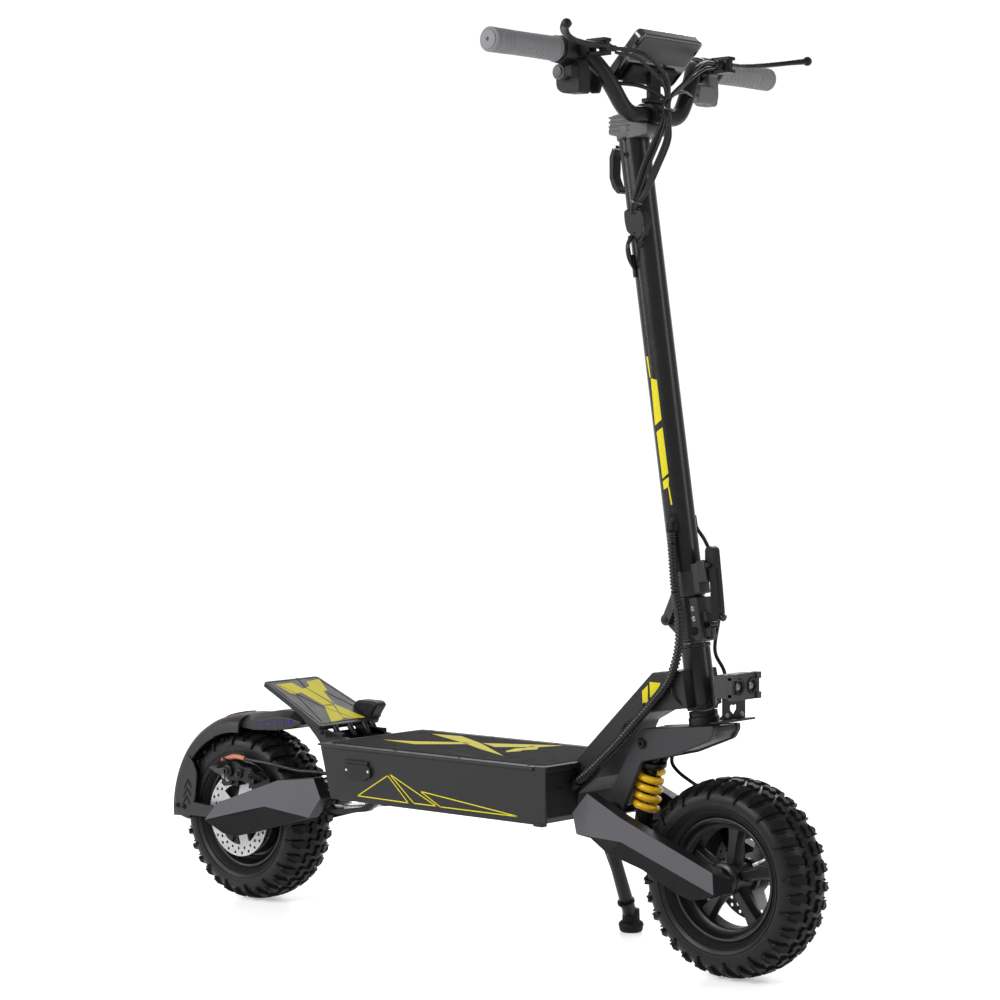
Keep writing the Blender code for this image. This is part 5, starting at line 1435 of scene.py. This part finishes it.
def make_throttle():
    centre = Vector((BAR_X, 0, BAR_Z))
    ring = lathe(ring_profile(BAR_R, 0.018, 0.1375, 0.161, 0.0016), centre, RIGHT, 48)
    shell = rounded([(-0.1803, 1.16), (-0.1784, 1.149), (-0.1687, 1.1431), (-0.14, 1.142), (-0.1405, 1.17),
                     (-0.143, 1.188), (-0.174, 1.19)], 0.005)
    body = plate(shell, -0.14, -0.118)
    piece("throttle_housing", [ring, body], "plastic", "stem", bevel=0.002, hides=("throttle_body",))
    ear = rounded([(-0.163, 1.2004), (-0.1504, 1.1978), (-0.1372, 1.1568), (-0.1411, 1.1446),
                   (-0.1546, 1.1449), (-0.1622, 1.1589)], 0.003)
    piece("throttle_side_plate", [plate(ear, -0.101, -0.096)], "black_metal", "stem", bevel=0.0012)
    barrel = [rod((-0.1671, -0.14, 1.1699), (-0.1671, -0.15, 1.1699), 0.01, steps=40),
              rod((-0.1671, -0.15, 1.1699), (-0.1671, -0.1525, 1.1699), 0.007, steps=40)]
    piece("throttle_barrel", barrel, "cast_alloy", "stem", bevel=0.0004)
    blade = [(BAR_X + 0.019, BAR_Z - 0.02), (BAR_X + 0.006, BAR_Z - 0.0215), (BAR_X + 0.008, BAR_Z - 0.034),
             (BAR_X + 0.02, BAR_Z - 0.036)]
    thumb = plate(rounded(blade, 0.003), -0.156, -0.142)
    piece("thumb_paddle", [thumb], "plastic", "throttle_paddle", bevel=0.0016, hides=("throttle_paddle",))


def make_switches():
    centre = Vector((BAR_X, 0, BAR_Z))
    ring = lathe(ring_profile(BAR_R, 0.0172, 0.1385, 0.1605, 0.0016), centre, LEFT, 48)
    box_at = [(BAR_X - 0.013, 1.186), (BAR_X - 0.015, 1.156), (BAR_X - 0.008, 1.148),
              (BAR_X + 0.012, 1.148), (BAR_X + 0.015, 1.162), (BAR_X + 0.014, 1.188)]
    body = plate(rounded(box_at, 0.004), 0.139, 0.16)
    wing = plate(rounded([(BAR_X + 0.002, 1.15), (BAR_X + 0.02, 1.148), (BAR_X + 0.024, 1.172),
                          (BAR_X + 0.006, 1.176)], 0.004), 0.108, 0.142)
    piece("switch_housing", [ring, body, wing], "switch_grey", "stem", bevel=0.002, hides=("switch_box",))
    caps = [rod((BAR_X - 0.013, 0.1495, z), (BAR_X - 0.0185, 0.1495, z), 0.004, steps=32)
            for z in (1.18, 1.158)]
    caps.append(box((BAR_X - 0.0175, 0.1445, 1.165), (BAR_X - 0.0135, 0.1545, 1.1725)))
    piece("switch_caps", caps, "gloss_black", "stem", bevel=0.0008)


DISPLAY = Vector((-0.1275, 0, 1.1975))
DISPLAY_OUT = Vector((-sin(pi / 4), 0, sin(pi / 4)))
DISPLAY_UP = Vector((sin(pi / 4), 0, cos(pi / 4)))
SEGMENTS = {"a": (0, 1, 0), "b": (0.5, 0.5, 1), "c": (0.5, -0.5, 1), "d": (0, -1, 0), "e": (-0.5, -0.5, 1),
            "f": (-0.5, 0.5, 1), "g": (0, 0, 0)}
DIGITS = {"0": "abcdef", "2": "abged"}


def on_display(outline, low, high):
    """An outline in (rider's right, up the slope) between two depths out towards the rider."""
    return slab(outline, DISPLAY + DISPLAY_OUT * low, RIGHT, DISPLAY_UP, high - low)


def plain(x_low, x_high, y_low, y_high, radius=0.0):
    """A rectangle, with rounded corners when a radius is given."""
    corners = [(x_low, y_low), (x_high, y_low), (x_high, y_high), (x_low, y_high)]
    return rounded(corners, radius, 6) if radius else corners


def make_display():
    case = on_display(plain(-0.065, 0.065, -0.039, 0.039, 0.01), -0.007, 0.0066)
    piece("display_shell", [case], "gloss_black", "stem", bevel=0.002, hides=("display_case",))
    back = on_display(plain(-0.059, 0.059, -0.003, 0.035, 0.005), -0.008, -0.0066)
    lower = on_display(plain(-0.048, 0.048, -0.036, -0.009, 0.004), -0.013, -0.006)
    piece("display_back", [back], "display_grey", "stem", bevel=0.001)
    piece("display_foot", [lower], "plastic", "stem", bevel=0.0024)
    glass = on_display(plain(-0.044, 0.06, -0.034, 0.034, 0.006), 0.0062, 0.0071)
    piece("display_glass", [glass], "screen_glass", "stem", bevel=0.0003)
    bars = []
    for place, digit in ((0.0, "2"), (0.02, "0")):
        for key in DIGITS[digit]:
            across, up, tall = SEGMENTS[key]
            cx, cy = place + across * 0.012, up * 0.0105 + 0.004
            wide, high = (0.001, 0.0046) if tall else (0.005, 0.001)
            bars.append(on_display(plain(cx - wide, cx + wide, cy - high, cy + high), 0.007, 0.00725))
    for i in range(5):
        bars.append(on_display(plain(-0.036 + 0.0055 * i, -0.032 + 0.0055 * i, -0.029, -0.025), 0.007,
                               0.00725))
    piece("display_digits", bars, "digit_white", "stem")
    button = DISPLAY + Vector((0, 0.052, 0)) + DISPLAY_OUT * 0.0066
    collar = lathe([(0.0052, 0), (0.0068, 0), (0.0068, 0.0008), (0.006, 0.0012), (0.0052, 0.0008)], button,
                   DISPLAY_OUT, 40)
    piece("power_collar", [collar], "cast_alloy", "stem")
    cap = lathe([(0, 0.0), (0.005, 0.0), (0.005, 0.0024), (0.0044, 0.0031), (0.002, 0.0026), (0, 0.0024)],
                button, DISPLAY_OUT, 40)
    piece("power_cap", [cap], "plastic", "power_button", smooth=50, hides=("power_button",))


# Cables
CABLE_STEP = 0.004


def cable(points, radius, steps=14):
    return tube(smooth_route(points, CABLE_STEP), radius, steps)


def corrugated(points, radius, pitch):
    """A ribbed conduit along a route."""
    route = smooth_route(points, pitch / 4)
    radii = [radius - 0.0016 if i % 4 in (0, 3) else radius for i in range(len(route))]
    return tube(route, radii, 24)


CONDUIT = [on_stem(0.592, 80, STEM_R - 0.003), on_stem(0.58, 80, STEM_R + 0.004),
           (-0.079, -0.029, 0.562), (-0.066, -0.0395, 0.503), (-0.056, -0.044, 0.464),
           (-0.0575, -0.044, 0.425), (-0.0725, -0.0442, 0.385), (-0.0995, -0.0444, 0.354),
           (-0.1285, -0.0446, 0.326), (-0.1625, -0.0448, 0.293), (-0.2055, -0.045, 0.256),
           (-0.229, -0.045, 0.2395)]
FRONT_CABLE = [on_stem(0.59, -62, STEM_R - 0.002), on_stem(0.578, -62, STEM_R + 0.003),
               (-0.066, 0.0275, 0.56), (-0.054, 0.037, 0.52), (-0.056, 0.043, 0.47),
               (-0.067, 0.047, 0.418), (-0.054, 0.05, 0.39), (-0.049, 0.051, 0.355),
               (-0.056, 0.051, 0.33), (-0.09, 0.049, 0.308), (-0.13, 0.048, 0.283), (-0.139, 0.046, 0.266),
               (-0.13, 0.047, 0.252), (-0.105, 0.05, 0.237), (-0.072, 0.054, 0.221),
               (-0.05, 0.054, 0.207), (-0.044, 0.05, 0.197)]
LIGHT_CABLE = [(-0.07, -0.042, 0.374), (-0.068, -0.041, 0.364), (-0.059, -0.038, 0.354),
               (-0.046, -0.032, 0.3475), (-0.032, -0.026, 0.346), (-0.02, -0.022, 0.349),
               (-0.012, -0.019, 0.357), (-0.009, -0.016, 0.367)]
REAR_CABLE = [(-0.658, -0.048, 0.21), (-0.664, -0.05, 0.208), (-0.6967, -0.052, 0.21),
              (-0.7204, -0.054, 0.2105), (-0.7524, -0.056, 0.21), (-0.78, -0.058, 0.213),
              (-0.81, -0.06, 0.2165), (-0.8418, -0.0605, 0.218), (-0.866, -0.0605, 0.22)]


def make_conduit():
    split = smooth_route(CONDUIT, 0.004)
    turn = next(i for i, p in enumerate(split) if p.z < 0.503)
    lower = piece("conduit_lower", [corrugated(split[turn:], 0.0062, 0.0046)], "cable_rubber", None,
                  smooth=60, hides=("conduit",))
    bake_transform(lower)
    upper = piece("conduit_upper", [corrugated(split[:turn + 1], 0.0062, 0.0046)], "cable_rubber", None,
                  smooth=60)
    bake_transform(upper)
    ends = [lathe(ring_profile(0.004, 0.0082, -0.002, 0.01, 0.001), Vector((-0.229, -0.045, 0.2395)),
                  (-0.85, 0, -0.53), 32)]
    piece("conduit_gland", ends, "rubber", "chassis")
    top = lathe(ring_profile(0.004, 0.0078, -0.004, 0.008, 0.001), CONDUIT[1],
                CONDUIT[1] - Vector(CONDUIT[2]), 32)
    piece("conduit_top_gland", [top], "rubber", "stem")


def make_brake_cables():
    route = smooth_route(FRONT_CABLE, 0.004)
    turn = next(i for i, p in enumerate(route) if p.z < 0.47)
    lower = piece("front_cable_lower", [tube(route[turn:], 0.0025, 14)], "cable_rubber", None, smooth=60,
                  hides=("front_brake_cable",))
    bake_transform(lower)
    upper = piece("front_cable_upper", [tube(route[:turn + 1], 0.0025, 14)], "cable_rubber", None,
                  smooth=60)
    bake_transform(upper)
    light = piece("headlight_cable", [tube(smooth_route(LIGHT_CABLE, 0.003), 0.0016, 12)], "cable_rubber",
                  None, smooth=60)
    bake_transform(light)
    rear = piece("rear_cable", [cable(REAR_CABLE, 0.0026)], "cable_rubber", None, smooth=60,
                 hides=("rear_brake_cable",))
    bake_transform(rear)
    boot = smooth_route([(-0.86, -0.0605, 0.2197), (-0.8834, -0.0605, 0.2206), (-0.909, -0.0605, 0.2132)],
                        0.0018)
    radii = [(0.003 if i % 2 else 0.0036) + 0.0006 * sin(pi * i / (len(boot) - 1))
             for i in range(len(boot))]
    piece("rear_cable_boot", [tube(boot, radii, 20)], "copper_boot", "rear_arm", smooth=60)


def make_rear_calliper_gear():
    """The brake's housing, levers, adjusters and return spring above the rear disc."""
    y = -0.056
    housing = rounded([(-0.904, 0.196), (-0.896, 0.212), (-0.878, 0.214), (-0.864, 0.206), (-0.848, 0.207),
                       (-0.838, 0.196), (-0.842, 0.182), (-0.87, 0.186), (-0.898, 0.184)], 0.004)
    mount = rounded([(-0.856, 0.198), (-0.83, 0.202), (-0.812, 0.192), (-0.818, 0.17), (-0.842, 0.166),
                     (-0.86, 0.18)], 0.005)
    solids = [plate(housing, y - 0.006, y + 0.008), plate(mount, y + 0.001, y + 0.007)]
    for x, z, radius, out in ((-0.894, 0.199, 0.0095, 0.0105), (-0.872, 0.1965, 0.0075, 0.009),
                              (-0.85, 0.195, 0.0062, 0.008)):
        solids.append(rod((x, y - out, z), (x, y, z), radius, steps=28))
        solids.append(rod((x, y - out - 0.0025, z), (x, y - out, z), radius * 0.6, steps=6))
    solids.append(rod((-0.908, y - 0.003, 0.214), (-0.89, y - 0.003, 0.206), 0.0032))
    piece("rear_calliper_housing", solids, "black_metal", "rear_arm", bevel=0.0008)
    lever = rounded([(-0.929, 0.201), (-0.925, 0.2045), (-0.912, 0.201), (-0.898, 0.204), (-0.893, 0.196),
                     (-0.905, 0.192), (-0.918, 0.195)], 0.002)
    fine = [plate(lever, y - 0.013, y - 0.0105), rod((-0.9428, y, 0.1985), (-0.925, y, 0.203), 0.0012)]
    piece("rear_calliper_lever", fine, "panel_grey", "rear_arm", bevel=0.0005)
    coils = [tube(coil_points(Vector((-0.842, y - 0.01, 0.2)), Vector((-0.818, y - 0.01, 0.193)), 0.005,
                              6), 0.001, 8),
             tube(coil_points(Vector((-0.903, y - 0.01, 0.215)), Vector((-0.89, y - 0.01, 0.211)), 0.003,
                              5), 0.0007, 8)]
    piece("rear_calliper_spring", coils, "black_metal", "rear_arm", smooth=60)
    bolts = []
    for x, z in ((-0.825, 0.193), (-0.833, 0.174), (-0.866, 0.201)):
        bolts += bolt((x, y + 0.001 if x > -0.84 else y - 0.006, z), RIGHT, 0.0034)
    piece("rear_calliper_screws", bolts, "black_bolt", "rear_arm")


def make_control_cables(right_barrel, left_barrel):
    """Every cable from the handlebar, gathered beside the stem and led into it."""
    trunk = [(-0.0985, -0.011, 1.14), (-0.0985, -0.0135, 1.112), (-0.104, -0.015, 1.087),
             (-0.12, -0.0165, 1.055), (-0.133, -0.019, 1.025), (-0.143, -0.0225, 1.004),
             (-0.145, -0.023, 0.993)]
    loose = [0.35, 0.45, 0.95, 1.0, 0.75, 0.35, 0.2]

    def joined(lead, shift, depth):
        tail = []
        for place, amount in zip(trunk, loose):
            side = Vector((0.75, 0.66, 0)) * (shift * amount)
            tail.append(Vector(place) + side + Vector((0.66, -0.75, 0)) * (depth * amount))
        return [Vector(p) for p in lead] + tail

    right_turn = right_barrel + Vector((0.01, 0.026, -0.001))
    left_turn = left_barrel + Vector((0.004, -0.026, -0.002))
    leads = [([right_barrel, right_turn, (-0.088, -0.056, 1.187), (-0.086, -0.027, 1.164)], 0.004, 0.002),
             ([right_barrel + Vector((0, 0, -0.005)), right_turn + Vector((0, 0, -0.008)),
               (-0.092, -0.06, 1.178), (-0.09, -0.031, 1.158)], -0.004, 0.003),
             ([left_barrel, left_turn, (-0.095, 0.048, 1.186), (-0.093, 0.018, 1.164)], 0.007, -0.001),
             ([left_barrel + Vector((0, 0, -0.005)), left_turn + Vector((0, 0, -0.008)),
               (-0.099, 0.045, 1.174), (-0.096, 0.014, 1.156)], 0.01, 0.001),
             ([(-0.153, -0.096, 1.162), (-0.142, -0.08, 1.16), (-0.115, -0.045, 1.156)], -0.012, 0.001),
             ([(-0.146, 0.108, 1.16), (-0.125, 0.075, 1.154), (-0.104, 0.03, 1.154)], 0.007, 0.004),
             ([(-0.116, -0.006, 1.18), (-0.104, -0.008, 1.172), (-0.098, -0.01, 1.158)], -0.008, -0.002)]
    strands = [cable(joined(lead, shift, depth), 0.0027 if i in (0, 2, 4) else 0.0021, 12)
               for i, (lead, shift, depth) in enumerate(leads)]
    piece("control_cables", strands, "cable_rubber", "stem", smooth=60, hides=("cable_bundle",))
    ties = []
    for z, x, y in ((1.128, -0.0962, -0.011), (1.008, -0.1415, -0.0218)):
        ties.append(lathe(ring_profile(0.007, 0.0082, -0.0014, 0.0014, 0.0003), Vector((x, y, z)),
                          Vector((0.35, 0.1, 1)), 32))
    piece("cable_ties", ties, "gloss_black", "stem")


# Kickstand
def make_kickstand():
    pivot = KICKSTAND_PIVOT
    foot = Vector((-0.294, 0.15, 0.017))
    hub_part = cross_bar(pivot, 0.0085, 0.013)
    leg = rod(pivot + Vector((-0.001, 0.004, -0.006)), foot + Vector((0, 0, 0.004)), 0.0085, 0.01)
    high, low = pivot + Vector((-0.013, 0.006, -0.016)), foot + Vector((-0.0125, -0.004, 0.034))
    stays = [rod(high, low, 0.003), rod(low, low + Vector((0.0125, 0.002, -0.004)), 0.0034),
             rod(high, high + Vector((0.0125, 0.0, 0.004)), 0.0034)]
    for share in (0.14, 0.8):
        spot = pivot.lerp(foot, share)
        stays.append(rod(spot, spot.lerp(foot, 0.1), 0.0125))
    piece("kickstand_leg", [hub_part, leg] + stays, "black_metal", "kickstand", bevel=0.0004,
          hides=("kickstand",))
    pad = lathe([(0, -0.017), (0.013, -0.017), (0.016, -0.015), (0.018, -0.006), (0.0165, -0.003),
                 (0.0125, 0.0), (0.012, 0.016), (0, 0.016)], foot, UP, 40)
    piece("kickstand_pad", [pad], "rubber", "kickstand", bevel=0.0006)
    bracket = [box((-0.303, 0.046, 0.15), (-0.256, 0.062, 0.1862)),
               box((-0.31, 0.03, 0.183), (-0.248, 0.07, 0.1862)),
               rod(pivot + Vector((0, -0.018, 0)), pivot + Vector((0, -0.008, 0)), 0.005)]
    piece("kickstand_mount", bracket, "black_metal", "chassis", bevel=0.0016, hides=("kickstand_bracket",))
    a, b = Vector((-0.262, 0.067, 0.18)), pivot.lerp(foot, 0.3) + Vector((0.0125, -0.004, 0))
    spring = piece("kickstand_spring", [tube(coil_points(a, b, 0.0036, 11, 12), 0.0009, 8)], "steel",
                   None, smooth=60)
    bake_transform(spring)
    piece("kickstand_bolt", bolt(pivot + Vector((0, 0.0085, 0)), LEFT, 0.0055), "bolt_steel", "kickstand")


def make_axles():
    """Wheel axles and the arm ties that stay inside the arms."""
    for axle, name, body in ((FRONT_AXLE, "front_axle", "front_arm"), (REAR_AXLE, "rear_axle", "rear_arm")):
        shaft = cross_bar(axle, 0.064, 0.006)
        collars = both_sides(rod(axle + Vector((0, -0.06, 0)), axle + Vector((0, -0.048, 0)), 0.0105))
        piece(name + "_shaft", [shaft] + collars, "bolt_steel", body, hides=(name,))
    repaint("rear_arm_tie", "black_metal", 0.001)


# Camera, light and floor
CAMERA = {"position": (2.10583, -2.82362, 0.73851), "right": (0.7465, 0.66536, -0.005),
          "up": (-0.01776, 0.02744, 0.99947), "forward": (-0.66514, 0.74602, -0.03229),
          "lens": 97.98, "shift": (0.00417, -0.00372)}
SENSOR_WIDTH = 36
FLOOR_HALF = 30


def make_camera():
    data = bpy.data.cameras.new("camera")
    data.lens = CAMERA["lens"]
    data.sensor_width = SENSOR_WIDTH
    data.shift_x, data.shift_y = CAMERA["shift"]
    data.clip_end = 50
    camera = bpy.data.objects.new("camera", data)
    turn = Matrix((Vector(CAMERA["right"]), Vector(CAMERA["up"]), -Vector(CAMERA["forward"]))).transposed()
    camera.matrix_world = Matrix.Translation(Vector(CAMERA["position"]) + SHIFT) @ turn.to_4x4()
    bpy.context.scene.collection.objects.link(camera)
    bpy.context.scene.camera = camera


def area_light(name, place, target, size, watts):
    data = bpy.data.lights.new(name, "AREA")
    data.shape = "RECTANGLE"
    data.size, data.size_y = size
    data.energy = watts
    light = bpy.data.objects.new(name, data)
    place, target = Vector(place), Vector(target)
    light.matrix_world = Matrix.Translation(place) @ (place - target).to_track_quat("Z",
                                                                                    "Y").to_matrix().to_4x4()
    bpy.context.scene.collection.objects.link(light)


def make_studio():
    world = bpy.data.worlds.new("studio")
    bpy.context.scene.world = world
    world.use_nodes = True
    tree = world.node_tree
    back = tree.nodes["Background"]
    place = tree.nodes.new("ShaderNodeTexCoord")
    facing = tree.nodes.new("ShaderNodeVectorMath")
    facing.operation = "DOT_PRODUCT"
    facing.inputs[1].default_value = CAMERA["forward"]
    wall = tree.nodes.new("ShaderNodeMapRange")
    wall.inputs["From Min"].default_value = 0.55
    wall.inputs["From Max"].default_value = 0.92
    wall.inputs["To Min"].default_value = 0.5
    wall.inputs["To Max"].default_value = 1.05
    tree.links.new(place.outputs["Generated"], facing.inputs[0])
    tree.links.new(facing.outputs["Value"], wall.inputs["Value"])
    tree.links.new(wall.outputs["Result"], back.inputs["Strength"])
    back.inputs["Color"].default_value = (1.0, 1.0, 1.0, 1)
    bpy.context.scene.view_settings.view_transform = "Standard"
    centre = (0, 0, 0.5)
    area_light("key", (-0.8, -4.2, 2.8), centre, (2.4, 2.0), 190)
    area_light("side", (3.4, 1.2, 1.8), centre, (0.5, 2.6), 35)
    area_light("fill", (-3.0, -2.6, 1.9), centre, (0.6, 2.4), 60)
    area_light("rim", (-1.6, 3.4, 2.6), centre, (2.4, 1.2), 50)
    mesh = bpy.data.meshes.new("floor")
    corners = [(-FLOOR_HALF, -FLOOR_HALF, 0), (FLOOR_HALF, -FLOOR_HALF, 0), (FLOOR_HALF, FLOOR_HALF, 0),
               (-FLOOR_HALF, FLOOR_HALF, 0)]
    mesh.from_pydata(corners, [], [(0, 1, 2, 3)])
    mesh.materials.append(SURFACES["floor"].material)
    floor = bpy.data.objects.new("floor", mesh)
    bpy.context.scene.collection.objects.link(floor)


make_deck()
make_rear_lug()
make_charge_cover()
make_foot_rest()
make_neck()
make_fork()
make_front_shock()
make_headlight()
make_fold_base()
make_stem()
make_latch()
make_fold_hook()
make_bar()
make_grip(-1, "right", "grip_right")
make_grip(1, "left", "grip_left")
RIGHT_BARREL = make_brake_lever(-1, "right")
LEFT_BARREL = make_brake_lever(1, "left")
make_throttle()
make_switches()
make_display()
make_conduit()
make_brake_cables()
make_rear_calliper_gear()
make_control_cables(RIGHT_BARREL, LEFT_BARREL)
make_front_wheel()
make_front_arm()
make_rear_wheel()
make_rear_arm()
make_axles()
make_rear_shock()
make_fender()
make_kickstand()
make_camera()
make_studio()
